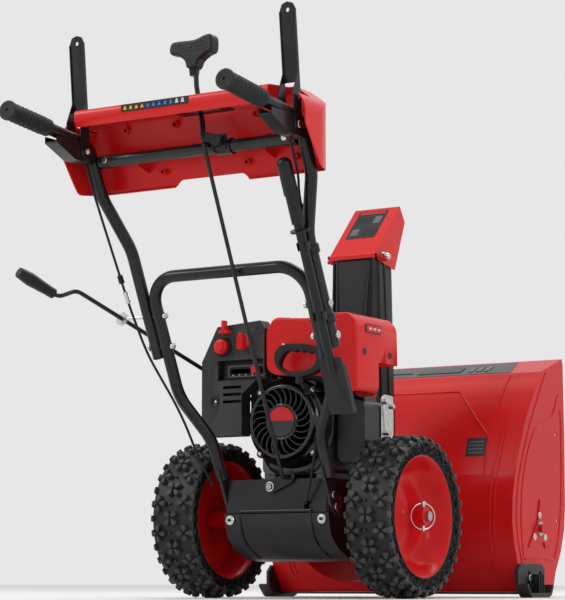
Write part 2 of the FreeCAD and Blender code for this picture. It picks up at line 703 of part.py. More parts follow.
def make_throttle():
    """Throttle slider in the panel's recess."""
    knob = box(THROTTLE_X - 8, THROTTLE_X + 8, PANEL_BACK_Y - 2, PANEL_BACK_Y + 13.5,
               THROTTLE_Z - 7, THROTTLE_Z + 7)
    tongue = box(THROTTLE_X - 3, THROTTLE_X + 3, PANEL_BACK_Y + 8, PANEL_BACK_Y + 24,
                 THROTTLE_Z - 3, THROTTLE_Z + 3)
    return fuse([knob, tongue])


TANK_TOP_Z = 566.0


def make_top_cover():
    """Hollow cover over the cylinder and the fuel tank."""
    outline = [(-40, 470), (-42, 552), (-22, 580), (160, 580), (176, 562), (178, 428), (166, 412),
               (128, 412), (100, 450), (-16, 456)]
    outer = prism_y(outline, -96, 82)
    inner_outline = [(-37, 460), (-39, 551), (-20, 577), (159, 577), (173, 561), (175, 429),
                     (165, 400), (128, 400), (100, 430), (-10, 430)]
    inner = prism_y(inner_outline, -93, 79)
    step = box(120, 200, -4, 100, 400, 482)
    neck = rod(60, 40, 560, 24, 40, Z_AXIS)
    return cut_all(outer, [inner, step, neck])


def make_fuel_tank():
    """Fuel tank under the cover, with its filler neck."""
    shell = box(-16, 160, -86, 74, 490, TANK_TOP_Z)
    cavity = box(-13, 157, -83, 71, 493, TANK_TOP_Z - 3)
    neck = rod(60, 40, TANK_TOP_Z - 4, 20, 19, Z_AXIS)
    tunnel = rod(60, 40, TANK_TOP_Z - 10, 16, 40, Z_AXIS)
    return fuse([shell, neck]).cut(cavity).cut(tunnel)


def make_fuel_cap():
    """Screw cap of the fuel tank."""
    cap = rod(60, 40, TANK_TOP_Z + 15.4, 23, 11, Z_AXIS)
    plug = rod(60, 40, TANK_TOP_Z + 3, 15.6, 14, Z_AXIS)
    return fuse([cap, plug])


def make_muffler():
    """Muffler with its guard on the right of the engine."""
    body = box(100, 164, -40, 66, 276, 404)
    body = body.makeFillet(18, [e for e in body.Edges if abs(e.tangentAt(0).y) > 0.9])
    pipe_part = rod(84, 20, 384, 13, 20, X_AXIS)
    return fuse([body, pipe_part])


def make_belt_cover():
    """Hollow cover over the pulleys between engine and housing."""
    outline = [(-112, CHASSIS_TOP_Z), (-66, 425), (-40, 444), (60, 444), (78, 436), (124, 330),
               (124, CHASSIS_TOP_Z)]
    outer = prism_y(outline, BELT_COVER_BACK_Y, BELT_COVER_FRONT_Y)
    inner_outline = [(-108, CHASSIS_TOP_Z - 10), (-108, CHASSIS_TOP_Z + 1), (-63, 424), (-38, 441),
                     (59, 441), (76, 434), (121, 329), (121, CHASSIS_TOP_Z - 10)]
    inner = prism_y(inner_outline, BELT_COVER_BACK_Y + SHEET, BELT_COVER_FRONT_Y - SHEET)
    hole = rod(0, BELT_COVER_BACK_Y - 5, CRANK_Z, 14, 12, Y_AXIS)
    return cut_all(outer, [inner, hole])


# ---- handles ------------------------------------------------------------------------------
def handle_point(x, z):
    """A point on the sloping handle line."""
    return (x, handle_y(z), z)


ARM_BOLT_Z = (513.0, 573.0)


def make_lower_handle():
    """U shaped lower handle with flattened feet on the chassis."""
    points = [handle_point(U_FOOT_X, 246), handle_point(U_FOOT_X, 322), handle_point(U_X, 412),
              handle_point(U_X, U_TOP_Z)]
    points += [(-x, y, z) for x, y, z in points[::-1]]
    bow = tube(points, [110, 110, 62, 62, 110, 110])
    foot_points = []
    for z, half in ((166, 12), (174, 17), (262, 17), (262, -17), (174, -17), (166, -12)):
        foot_points.append((handle_y(z) + half, z))
    foot = prism_x(foot_points, CHASSIS_X + 0.1, CHASSIS_X + 6)
    holes = [rod(-150, handle_y(z), z, HOLE_R, 300, X_AXIS) for z in HANDLE_BOLT_Z]
    for z in ARM_BOLT_Z:
        holes.append(rod(-200, handle_y(z), z, HOLE_R, 400, X_AXIS))
    return cut_all(fuse([bow, foot, mirrored(foot)]), holes)


ARM_RADII = [120, 120, 42]
CROSSBAR_BOLT_X = 212.0


def arm_points():
    """Route of the right upper handle."""
    return [handle_point(ARM_X, 492), handle_point(ARM_X, 702), handle_point(GRIP_X, 812),
            (GRIP_X, BEND_Y, BEND_Z), (GRIP_X, GRIP_END_Y + 4, GRIP_END_Z)]


def make_upper_handle():
    """Right upper handle tube with the tab that holds the crossbar."""
    arm = tube(arm_points(), ARM_RADII)
    face = CROSSBAR_Y + TUBE_R + 0.1
    tab = box(198, 250, face, face + 3, CROSSBAR_Z - 11, CROSSBAR_Z + 11)
    lug = box(241, 256, face - 10, face + 3, CROSSBAR_Z - 11, CROSSBAR_Z + 11)
    lug = lug.cut(pipe(arm_points(), ARM_RADII, TUBE_R - 1))
    holes = [rod(190, handle_y(z), z, HOLE_R, 50, X_AXIS) for z in ARM_BOLT_Z]
    holes.append(rod(CROSSBAR_BOLT_X, CROSSBAR_Y, CROSSBAR_Z, HOLE_R, 30, Y_AXIS))
    return cut_all(fuse([arm, tab, lug]), holes)


def make_crossbar():
    """Straight bar between the upper handles."""
    bar = ring(-232, CROSSBAR_Y, CROSSBAR_Z, TUBE_R, TUBE_BORE_R, 464, X_AXIS)
    holes = both_sides(rod(CROSSBAR_BOLT_X, CROSSBAR_Y - 30, CROSSBAR_Z, HOLE_R, 60, Y_AXIS))
    clear = both_sides(pipe(arm_points(), ARM_RADII, TUBE_R + 0.3))
    return cut_all(bar, holes + clear)


def grip_frame():
    """Start point and direction of the right grip."""
    start = V(GRIP_X, BEND_Y, BEND_Z)
    end = V(GRIP_X, GRIP_END_Y + 4, GRIP_END_Z)
    along = (end - start).normalize()
    return end, along


GRIP_LENGTH = 125.0
GRIP_R = 18.5


def make_grip():
    """Right hand grip: closed sleeve with ribs and an end disc."""
    end, along = grip_frame()
    start = end + along * 4 - along * GRIP_LENGTH
    sleeve = Part.makeCylinder(GRIP_R - 2.5, GRIP_LENGTH, start, along)
    pieces = [sleeve]
    for i in range(8):
        pieces.append(Part.makeCylinder(GRIP_R, 10, start + along * (4 + 14.5 * i), along))
    bore = Part.makeCylinder(TUBE_R + 0.05, GRIP_LENGTH - 3.9, start, along)
    return fuse(pieces).cut(bore)


def make_lever_bracket():
    """Pressed bracket under the right handle that carries the clutch lever."""
    outline = [(-560, 905), (-560, 892), (-500, 868), (-440, 866), (-432, 880), (-440, 900),
               (-470, 906)]
    inner, outer = 13.0, 15.0
    cheeks = [prism_x(outline, GRIP_X + inner, GRIP_X + outer),
              prism_x(outline, GRIP_X - outer, GRIP_X - inner)]
    floor = prism_x([(-500, 868), (-440, 866), (-440, 868.5), (-500, 870.5)], GRIP_X - outer,
                    GRIP_X + outer)
    tail = prism_x([(-560, 892), (-500, 868), (-500, 870.5), (-560, 894.5)], GRIP_X - outer,
                   GRIP_X + outer)
    hole = rod(GRIP_X - 30, LEVER_Y, LEVER_Z, HOLE_R, 60, X_AXIS)
    clear = pipe(arm_points(), ARM_RADII, TUBE_R + 0.1)
    slot = rod(GRIP_X - 8, -452, 850, 4, 40, Z_AXIS)
    return cut_all(fuse(cheeks + [floor, tail]), [hole, clear, slot])


def make_clutch_lever():
    """Right clutch lever: a flanged paddle whose cheeks straddle the handle."""
    web = [(-17, 82), (17, 82), (17, 222), (12, 233), (0, 237), (-12, 233), (-17, 222)]
    paddle = prism_y(web, 11, 14)
    cheek = [(14, -6), (8, -14), (-8, -14), (-14, -6), (-14, 60), (8, 100), (8, 218), (14, 222)]
    cheeks = [prism_x(cheek, 15.6, 17.6), prism_x(cheek, -17.6, -15.6)]
    lever = fuse([paddle] + cheeks)
    holes = [rod(-30, 0, 0, BOLT_R + BUSH_GAP, 60, X_AXIS), rod(0, -10, 221, 4, 40, Y_AXIS)]
    lever = cut_all(lever, holes)
    lever.rotate(V(0, 0, 0), X_AXIS, LEVER_LEAN)
    return lever.translated(V(GRIP_X, LEVER_Y, LEVER_Z))


# ---- dash ---------------------------------------------------------------------------------
DASH_X = 288.0
DASH_WALL = 2.5
LEVER_SLOT = (226.0, 272.0)


def dash_block(inset):
    """Outer form of the dash, or the form of its hollow when inset is more than zero."""
    profile = [(-516 + inset, 943), (-516 + inset, 962 - inset), (-395, 975 - inset),
               (-384 - inset * 0.6, 968 - inset), (-355 - inset, 817), (-418, 812), (-442, 841),
               (-486, 899)]
    if inset:
        profile[0] = (-513.5, 900)
        profile[5:] = [(-357.5, 760), (-600, 760), (-600, 900)]
    half = DASH_X - inset
    block = prism_x(profile, -half, half)
    plan = [(-half, -700), (half, -700), (half, -400 - inset), (246 - inset, -340 - inset),
            (-246 + inset, -340 - inset), (-half, -400 - inset)]
    front = [(-half, 700), (half, 700), (half, 934 - inset), (228, 980 - inset),
             (-228, 980 - inset), (-half, 934 - inset)]
    return block.common(prism_z(plan, 700, 1000)).common(prism_y(front, -700, -300))


def make_dash():
    """Hollow dash panel, open below, with slots for the levers and the shift lever."""
    shell = dash_block(0).cut(dash_block(DASH_WALL))
    notch = prism_y([(-95, 700), (-95, 812), (-75, 832), (75, 832), (95, 812), (95, 700)],
                    -420, -340)
    tools = [notch, box(-26, 56, -452, -398, 940, 990)]
    for side in (1, -1):
        low, high = sorted((side * LEVER_SLOT[0], side * LEVER_SLOT[1]))
        tools.append(box(low, high, -700, -436, 780, 1000))
    for side in (1, -1):
        low, high = sorted((side * (LEVER_SLOT[1] - 1), side * 400))
        tools.append(box(low, high, -700, -478, 780, 1000))
    ribs = []
    for x in (-150, 150):
        ribs.append(prism_x([(-380, 900), (-402, 890), (-402, 860), (-362, 850)], x - 1.5, x + 1.5))
    shell = cut_all(shell, tools)
    ribs = [rib.common(dash_block(0)) for rib in ribs]
    return fuse([shell] + ribs)


def make_gate_plate():
    """Shift gate under the top of the dash, with its long slot."""
    plate = box(-46, 74, -506, -392, 951, 953.5)
    lip = box(-30, 66, -511, -506, 938, 953.5)
    slot = box(-26, 56, -444, -410, 940, 960)
    return fuse([plate, lip]).cut(slot)


SHIFT_LEVER_X = 68.0
SHIFT_LEVER_Y = -436.0
SHIFT_LEVER_Z = 884.0
ROD_TOP = (41.0, -440.0, 878.0)
ROD_FOOT = (29.0, -128.0, 245.0)
ROD_R = 4.0
ROD_TOP_PIN = 13.0         # how far the rod runs behind each end hole
ROD_FOOT_PIN = 13.0


def make_shift_bracket():
    """Clamp on the crossbar with the pivot bolt of the shift lever."""
    clamp = ring(50, CROSSBAR_Y, CROSSBAR_Z, 16, TUBE_R + 0.05, 36, X_AXIS)
    ear = box(56, 80, CROSSBAR_Y - 18.2, CROSSBAR_Y - 13, CROSSBAR_Z - 8, CROSSBAR_Z + 22)
    ear = ear.cut(rod(40, CROSSBAR_Y, CROSSBAR_Z, TUBE_R + 0.05, 60, X_AXIS))
    bolt = rod(SHIFT_LEVER_X, SHIFT_LEVER_Y - 6, SHIFT_LEVER_Z, BOLT_R, 8, Y_AXIS)
    head = rod(SHIFT_LEVER_X, SHIFT_LEVER_Y - 9, SHIFT_LEVER_Z, 7, 5, Y_AXIS)
    return fuse([clamp, ear, bolt, head])


def pin_slot(x0, x1, y, z):
    """Slotted hole along Y for a hooked end of the shift rod."""
    radius = BOLT_R + 1.0
    return fuse([rod(x0, y, z, radius, 40, Y_AXIS), rod(x1, y, z, radius, 40, Y_AXIS),
                 box(x0, x1, y, y + 40, z - radius, z + radius)])


def make_shift_lever():
    """Bell crank plate with the long bent stem."""
    y = SHIFT_LEVER_Y
    plate = prism_y([(76, 876), (76, 892), (64, 896), (30, 906), (24, 902), (34, 870), (66, 874)],
                    y - 3.5, y + 0.5)
    stem = pipe([(31, y - 1.5, 890), (27, y, 925), (10, y + 4, 1000), (4, y + 8, 1062)],
                [60, 60], 5)
    body = fuse([plate, stem])
    tools = [rod(SHIFT_LEVER_X, y - 20, SHIFT_LEVER_Z, BOLT_R + BUSH_GAP, 40, Y_AXIS),
             pin_slot(ROD_TOP[0] - 3.0, ROD_TOP[0] + 1.0, y - 20, ROD_TOP[2])]
    return cut_all(body, tools)


def make_shift_knob():
    """T shaped knob on the shift lever."""
    y = SHIFT_LEVER_Y + 8
    grip = rod(-36, y, 1076, 13, 80, X_AXIS)
    nose = Part.makeSphere(13, V(-36, y, 1076))
    tail = rod(44, y, 1076, 15.5, 8, X_AXIS)
    neck = Part.makeCone(8, 12, 32, V(4, y, 1040), Z_AXIS)
    body = fuse([grip, nose, tail, neck])
    return body.cut(pipe([(31, SHIFT_LEVER_Y - 1.5, 890), (27, SHIFT_LEVER_Y, 925),
                          (10, SHIFT_LEVER_Y + 4, 1000), (4, y, 1062)], [60, 60], 5))


SHIFT_PIVOT_X = -11.0
SHIFT_PIVOT_Z = 227.0


def make_shift_rod():
    """Long rod from the shift lever down to the shift arm, hooked at both ends."""
    x0, y0, z0 = ROD_TOP
    x1, y1, z1 = ROD_FOOT
    top = (x0, y0 - ROD_TOP_PIN, z0)
    foot = (x1, y1 - ROD_FOOT_PIN, z1)
    shaft = bar_between(top, foot, ROD_R)
    top_pin = rod(*top, ROD_R, ROD_TOP_PIN + 5.5, Y_AXIS)
    foot_pin = rod(*foot, ROD_R, ROD_FOOT_PIN + 7, Y_AXIS)
    elbows = [Part.makeSphere(ROD_R, V(*top)), Part.makeSphere(ROD_R, V(*foot))]
    return fuse([shaft, top_pin, foot_pin] + elbows)


def make_shift_arm():
    """Arm on the rear plate that carries the rod's lower end."""
    y1 = CHASSIS_BACK_Y - SHEET - 5.0
    outline = [(-24, 222), (-18, 214), (-6, 214), (40, 234), (48, 246), (44, 258), (34, 260),
               (18, 250), (-16, 240)]
    plate = prism_y(outline, y1 - 3, y1)
    bolt = rod(SHIFT_PIVOT_X, y1 - 10, SHIFT_PIVOT_Z, BOLT_R, 24, Y_AXIS)
    head = rod(SHIFT_PIVOT_X, y1 - 9, SHIFT_PIVOT_Z, 7.5, 6, Y_AXIS)
    body = fuse([plate, bolt, head])
    return body.cut(pin_slot(ROD_FOOT[0] - 3.0, ROD_FOOT[0] + 4.4, y1 - 20, ROD_FOOT[2]))


# ---- chute --------------------------------------------------------------------------------
def round_rect(half_x, y0, y1, radius, z):
    """A closed rounded rectangle at a height, centred on the midplane."""
    points = []
    mids = []
    for cx, cy, start in ((half_x - radius, y1 - radius, 0), (-half_x + radius, y1 - radius, 90),
                          (-half_x + radius, y0 + radius, 180), (half_x - radius, y0 + radius, 270)):
        for list_, angle in ((points, start), (mids, start + 45), (points, start + 90)):
            a = math.radians(angle)
            list_.append(V(cx + radius * math.cos(a), cy + radius * math.sin(a), z))
    edges = []
    for i in range(4):
        edges.append(Part.Arc(points[2 * i], mids[i], points[2 * i + 1]).toShape())
        edges.append(Part.LineSegment(points[2 * i + 1], points[(2 * i + 2) % 8]).toShape())
    return Part.Wire(edges)


CHUTE_TOP_Z = 756.0
CHUTE_HALF = 51.5
RING_R = 90.0


def make_chute():
    """Chute: geared turning ring, round foot, and a channel that opens to the front."""
    outer = Part.makeLoft([round_rect(69, CHUTE_Y - 69, CHUTE_Y + 69, 67, 358),
                           round_rect(CHUTE_HALF, 203, 292, 14, CHUTE_TOP_Z)], True, True)
    inner = Part.makeLoft([round_rect(66.4, CHUTE_Y - 66.4, CHUTE_Y + 66.4, 65, 357),
                           round_rect(CHUTE_HALF - 2.6, 205.6, 289.4, 12, CHUTE_TOP_Z + 1)], True,
                          True)
    neck = ring(0, CHUTE_Y, 336, 69, 66.4, 23, Z_AXIS)
    body = fuse([outer.cut(inner), make_chute_gear(), neck])
    mouth = prism_x([(262, 560), (400, 560), (400, 800), (270, 800)], -CHUTE_HALF + 2.6,
                    CHUTE_HALF - 2.6)
    bolt_holes = rod(-80, DEFLECTOR_Y, DEFLECTOR_Z, HOLE_R, 160, X_AXIS)
    rear_step = box(-80, 80, 190, 213, 740, 800)
    return cut_all(body, [mouth, bolt_holes, rear_step])


RING_TEETH = 32


def make_chute_gear():
    """Notched ring at the chute's foot that the crank's worm turns."""
    points = []
    step = 2 * math.pi / RING_TEETH
    for i in range(RING_TEETH):
        for part, radius in ((-0.27, RING_R - 5), (-0.2, RING_R), (0.2, RING_R),
                             (0.27, RING_R - 5)):
            angle = (i + part) * step
            points.append((radius * math.cos(angle), CHUTE_Y + radius * math.sin(angle)))
    gear = prism_z(points, 336, 342)
    return gear.cut(rod(0, CHUTE_Y, 330, 66.4, 30, Z_AXIS))


DEFLECTOR_Y = 231.0
DEFLECTOR_Z = 742.0


def make_deflector():
    """Sloping deflector cap that straddles the top of the chute."""
    inner, outer = CHUTE_HALF + 3.2, CHUTE_HALF + 5.4
    side = [(203, 752), (314, 867), (337, 834), (289, 720), (240, 728), (214, 734)]
    cheeks = [prism_x(side, inner, outer), prism_x(side, -outer, -inner)]
    top = prism_x([(203, 752), (314, 867), (316, 865), (204.5, 749.5), (197.5, 744), (197.5, 737),
                   (195.5, 737), (195.5, 745)], -outer, outer)
    brow = prism_x([(314, 867), (337, 834), (335, 832), (312, 865)], -outer, outer)
    cap = fuse(cheeks + [top, brow])
    hole = rod(-80, DEFLECTOR_Y, DEFLECTOR_Z, BOLT_R + BUSH_GAP, 160, X_AXIS)
    return cap.cut(hole)


def make_wing_knobs():
    """Wing knobs and the bolts that clamp the deflector."""
    bolt = rod(CHUTE_HALF - 6, DEFLECTOR_Y, DEFLECTOR_Z, BOLT_R, 22, X_AXIS)
    boss = rod(CHUTE_HALF + 5.5, DEFLECTOR_Y, DEFLECTOR_Z, 9, 8, X_AXIS)
    wing = box(CHUTE_HALF + 10, CHUTE_HALF + 22, DEFLECTOR_Y - 16, DEFLECTOR_Y + 16,
               DEFLECTOR_Z - 3.5, DEFLECTOR_Z + 3.5)
    knob = fuse([bolt, boss, wing])
    knob.rotate(V(0, DEFLECTOR_Y, DEFLECTOR_Z), X_AXIS, 20)
    return both_sides(knob)


# ---- crank --------------------------------------------------------------------------------
EYE = V(-278.0, -274.4, 573.5)
WORM = V(-RING_R - 20.5, CHUTE_Y, 341.0)
CRANK_DIR = (WORM - EYE).normalize()
CRANK_SIDE = V(CRANK_DIR.y, -CRANK_DIR.x, 0).normalize()
CRANK_DOWN = CRANK_DIR.cross(CRANK_SIDE)
CRANK_ROD_R = 4.5


def crank_arm_end():
    """Where the offset arm of the crank meets its grip."""
    bend = EYE - CRANK_DIR * 126
    return bend, bend - CRANK_SIDE * 46 + CRANK_DOWN * 14 - CRANK_DIR * 8


def make_crank_rod():
    """Crank rod with its offset hand arm and the worm at the chute."""
    bend, arm = crank_arm_end()
    tip = arm - CRANK_DIR * 104
    front = WORM + CRANK_DIR * 26
    shaft = pipe([tuple(tip), tuple(arm), tuple(bend), tuple(front)], [14, 14], CRANK_ROD_R)
    worm_start = WORM - CRANK_DIR * 22
    pieces = [shaft, Part.makeCylinder(9, 44, worm_start, CRANK_DIR)]
    for i in range(5):
        pieces.append(Part.makeCylinder(13, 3, worm_start + CRANK_DIR * (3 + 8.5 * i), CRANK_DIR))
    return fuse(pieces)


def make_crank_grip():
    """Free turning grip on the crank."""
    arm = crank_arm_end()[1]
    start = arm - CRANK_DIR * 13
    body = fuse([Part.makeCylinder(11, 94, start - CRANK_DIR * 94, CRANK_DIR),
                 Part.makeCone(11, 14, 30, start - CRANK_DIR * 94, CRANK_DIR),
                 Part.makeCone(14, 10, 64, start - CRANK_DIR * 64, CRANK_DIR)])
    bore = Part.makeCylinder(CRANK_ROD_R + BUSH_GAP, 92, start - CRANK_DIR * 91.5, CRANK_DIR)
    return body.cut(bore)


def make_eye_bolt():
    """Eye bolt on the left handle that holds the crank rod."""
    outer = Part.makeCylinder(14, 9, EYE - CRANK_DIR * 4.5, CRANK_DIR)
    hole = Part.makeCylinder(CRANK_ROD_R + 0.08, 20, EYE - CRANK_DIR * 10, CRANK_DIR)
    y = handle_y(573.0)
    shank = bar_between((-ARM_X - TUBE_R - 0.2, y, 573), (EYE.x + 8, EYE.y - 1, EYE.z), 4)
    return fuse([outer, shank]).cut(hole)


def make_worm_bracket():
    """Bracket on the drum that carries the front end of the crank rod."""
    front = WORM + CRANK_DIR * 24
    ear = Part.makeCylinder(11, 6, front, CRANK_DIR)
    hole = Part.makeCylinder(CRANK_ROD_R + 0.06, 12, front - CRANK_DIR * 3, CRANK_DIR)
    leg = box(front.x - 6, front.x + 6, front.y + 1, front.y + 5, 240, front.z)
    foot = box(front.x - 6, front.x + 30, front.y + 1, front.y + 5, 240, 270)
    drum = rod(0, DRUM_BACK_Y, IMPELLER_Z, DRUM_R + 0.1, 300, Y_AXIS)
    return cut_all(fuse([ear, leg, foot]), [hole, drum])


# ---- clean-out tool -----------------------------------------------------------------------
TOOL_X = 213.0
TOOL_GAP = 36.0


def tool_point(z, gap=TOOL_GAP):
    """A point on the tool's line, behind the right handle."""
    return (TOOL_X, handle_y(z) - gap, z)


def make_clean_out_tool():
    """Snow scoop with a round shaft, a collar and a folded blade."""
    shaft = bar_between(tool_point(440), tool_point(716), 9.5)
    collar = Part.makeCylinder(19, 4, V(*tool_point(701)), V(*tool_point(720)) - V(*tool_point(700)))
    low = bar_between(tool_point(716), tool_point(770), 12.5)
    high = bar_between(tool_point(768), tool_point(822), 14.5)
    knob = Part.makeSphere(14.5, V(*tool_point(822)))
    blade = fuse([box(-26, -22, -2, 12, 0, 100), box(22, 26, -2, 12, 0, 100),
                  box(-26, 26, -2, 2, 0, 118)])
    blade.rotate(V(0, 0, 0), X_AXIS, math.degrees(math.atan(LEAN)))
    blade.translate(V(*tool_point(361)))
    return fuse([shaft, collar, low, high, knob, blade])


def make_tool_clips():
    """Two spring clips, open to the rear, that hold the clean-out tool on the right handle."""
    clips = []
    for z, tube_x in ((674, ARM_X), (545, ARM_X)):
        along = V(*tool_point(z + 10)) - V(*tool_point(z))
        along.normalize()
        arm = V(*handle_point(tube_x, z))
        seat = V(*tool_point(z))
        block = fuse([Part.makeCylinder(16, 16, arm - along * 8, along),
                      Part.makeCylinder(13, 16, seat - along * 8, along),
                      bar_between(tuple(arm), tuple(seat), 7)])
        leg = V(*handle_point(U_X, z))
        tools = [Part.makeCylinder(TUBE_R + 0.05, 40, arm - along * 20, along),
                 Part.makeCylinder(TUBE_R + 0.05, 40, leg - along * 20, along),
                 Part.makeCylinder(9.9, 40, seat - along * 20, along)]
        mouth = box(-9.9, 9.9, -20, 0, -20, 20)
        mouth.rotate(V(0, 0, 0), X_AXIS, math.degrees(math.atan(LEAN)))
        tools.append(mouth.translated(seat))
        clips.append(cut_all(block, tools))
    return clips


# ---- cables -------------------------------------------------------------------------------
CABLE_R = 2.6


def left_cable_route():
    """Drive cable from the left lever bracket down to the chassis."""
    return [(-243, -452, 862), (-242, -415, 790), (-238, -368, 700), (-235, -330, 627),
            (-231, -306, 578), (-222, -265, 500), (-203, -241, 449), (-180, -224, 400),
            (-160, -212, 352), (-150, -190, 300), (-146, -162, 262), (-140, -142, 232)]


def right_cable_route():
    """Auger cable from the right lever bracket down to the slot in the rear plate."""
    return [(239, -454, 862), (231, -411, 815), (212, -378, 772), (202, -340, 735),
            (199, -302, 690), (198, -268, 596), (194, -230, 520), (178, -188, 430),
            (150, -160, 380), (118, -150, 330), (104, -142, 280), (90, -136, 225),
            (74, -124, 190)]


def make_cable(route):
    """A sleeved control cable."""
    return pipe(route, cable_radii(route), CABLE_R)


def make_cable_fittings():
    """Rubber boots and metal adjusters on the two cables."""
    fittings = []
    for route in (left_cable_route(), right_cable_route()):
        top, middle, low = [V(*p) for p in route[2:5]]
        along = (low - middle).normalize()
        sleeve = Part.makeCylinder(5, 26, middle + along * 6, along)
        boot_dir = (middle - top).normalize()
        boot = Part.makeCylinder(6.5, 18, middle - boot_dir * 30, boot_dir)
        for piece in (sleeve, boot):
            fittings.append(piece.cut(make_cable(route)))
    return fittings


# ---- belts and fasteners ------------------------------------------------------------------
def belt_loop(y, top_r, low_z, low_r):
    """A belt that runs round the crank pulley and a lower pulley."""
    width = 9

    def stadium(extra):
        shapes = [rod(0, y, CRANK_Z, top_r + extra, width, Y_AXIS),
                  rod(0, y, low_z, low_r + extra, width, Y_AXIS)]
        span = CRANK_Z - low_z
        tilt = math.asin((low_r - top_r) / span)
        points = []
        for cz, radius, sign in ((CRANK_Z, top_r + extra, 1), (low_z, low_r + extra, 1),
                                 (low_z, low_r + extra, -1), (CRANK_Z, top_r + extra, -1)):
            points.append((sign * radius * math.cos(tilt), cz + radius * math.sin(tilt)))
        shapes.append(prism_y(points, y, y + width))
        return fuse(shapes)
    return stadium(6).cut(stadium(0.6))


def make_belts():
    """Traction belt and auger belt."""
    return [belt_loop(DRIVE_BELT_Y + 3.5, 27.5, HEX_Z, 51.5),
            belt_loop(AUGER_BELT_Y + 3.5, 27.5, IMPELLER_Z, 63.5)]


def handle_bolt(x_head, x_nut, y, z):
    """Round head bolt along X with its nut."""
    sign = 1 if x_head > x_nut else -1
    length = abs(x_head - x_nut)
    head = rod(x_head, y, z, 8, 4, V(sign, 0, 0))
    shank = rod(x_nut - sign * 9, y, z, BOLT_R, length + 9, V(sign, 0, 0))
    nut = rod(x_nut - sign * 6.5, y, z, 7, 6.5, V(sign, 0, 0))
    return fuse([head, shank, nut])


def make_handle_bolts():
    """Bolts of the handles, the crossbar and the handle feet."""
    bolts = []
    for z in ARM_BOLT_Z:
        bolts.append(handle_bolt(ARM_X + TUBE_R, U_X - TUBE_R, handle_y(z), z))
        if z == ARM_BOLT_Z[0]:
            bolts.append(mirrored(bolts[-1]))
    left_nut = rod(-U_X + TUBE_R, handle_y(573.0), 573, 7, 6.5, X_AXIS)
    left_shank = rod(-ARM_X - TUBE_R, handle_y(573.0), 573, BOLT_R, 60, X_AXIS)
    bolts.append(fuse([left_nut, left_shank]))
    for z in HANDLE_BOLT_Z:
        bolts += both_sides(handle_bolt(CHASSIS_X + 6, CHASSIS_X - SHEET, handle_y(z), z))
    for x in (-CROSSBAR_BOLT_X, CROSSBAR_BOLT_X):
        head = rod(x, CROSSBAR_Y - TUBE_R - 5, CROSSBAR_Z, 6.5, 5, Y_AXIS)
        shank = rod(x, CROSSBAR_Y - TUBE_R, CROSSBAR_Z, BOLT_R, 34, Y_AXIS)
        nut = rod(x, CROSSBAR_Y + TUBE_R + 3.1, CROSSBAR_Z, 6.5, 6, Y_AXIS)
        bolts.append(fuse([head, shank, nut]))
    return bolts


def make_lever_pivots():
    """Pivot bolts of the two clutch levers."""
    return both_sides(handle_bolt(GRIP_X + 18, GRIP_X - 18, LEVER_Y, LEVER_Z))


def make_housing_bolts():
    """Bolts of the skid shoes and the auger bearings."""
    bolts = []
    for y, z in SHOE_BOLTS:
        bolts += both_sides(housing_bolt(HOUSING_X + 8, y, z))
    for y, z in BEARING_BOLTS:
        bolts += both_sides(housing_bolt(HOUSING_X, y, z))
    return bolts


def housing_bolt(x, y, z):
    """Flanged bolt through the side of the housing."""
    head = rod(x, y, z, 7.5, 4, X_AXIS)
    shank = rod(HOUSING_X - SHEET - 8, y, z, BOLT_R, x - HOUSING_X + SHEET + 8, X_AXIS)
    nut = rod(HOUSING_X - SHEET - 6, y, z, 7, 6, X_AXIS)
    return fuse([head, shank, nut])


def make_chassis_screws():
    """Screws of the bottom cover and the rear plate."""
    screws = []
    for x in (-110, 110):
        head = rod(x, -125, 160, 6.5, 4, Y_AXIS)
        screws.append(fuse([head, rod(x, -122, 160, 3, 16, Y_AXIS)]))
    return screws


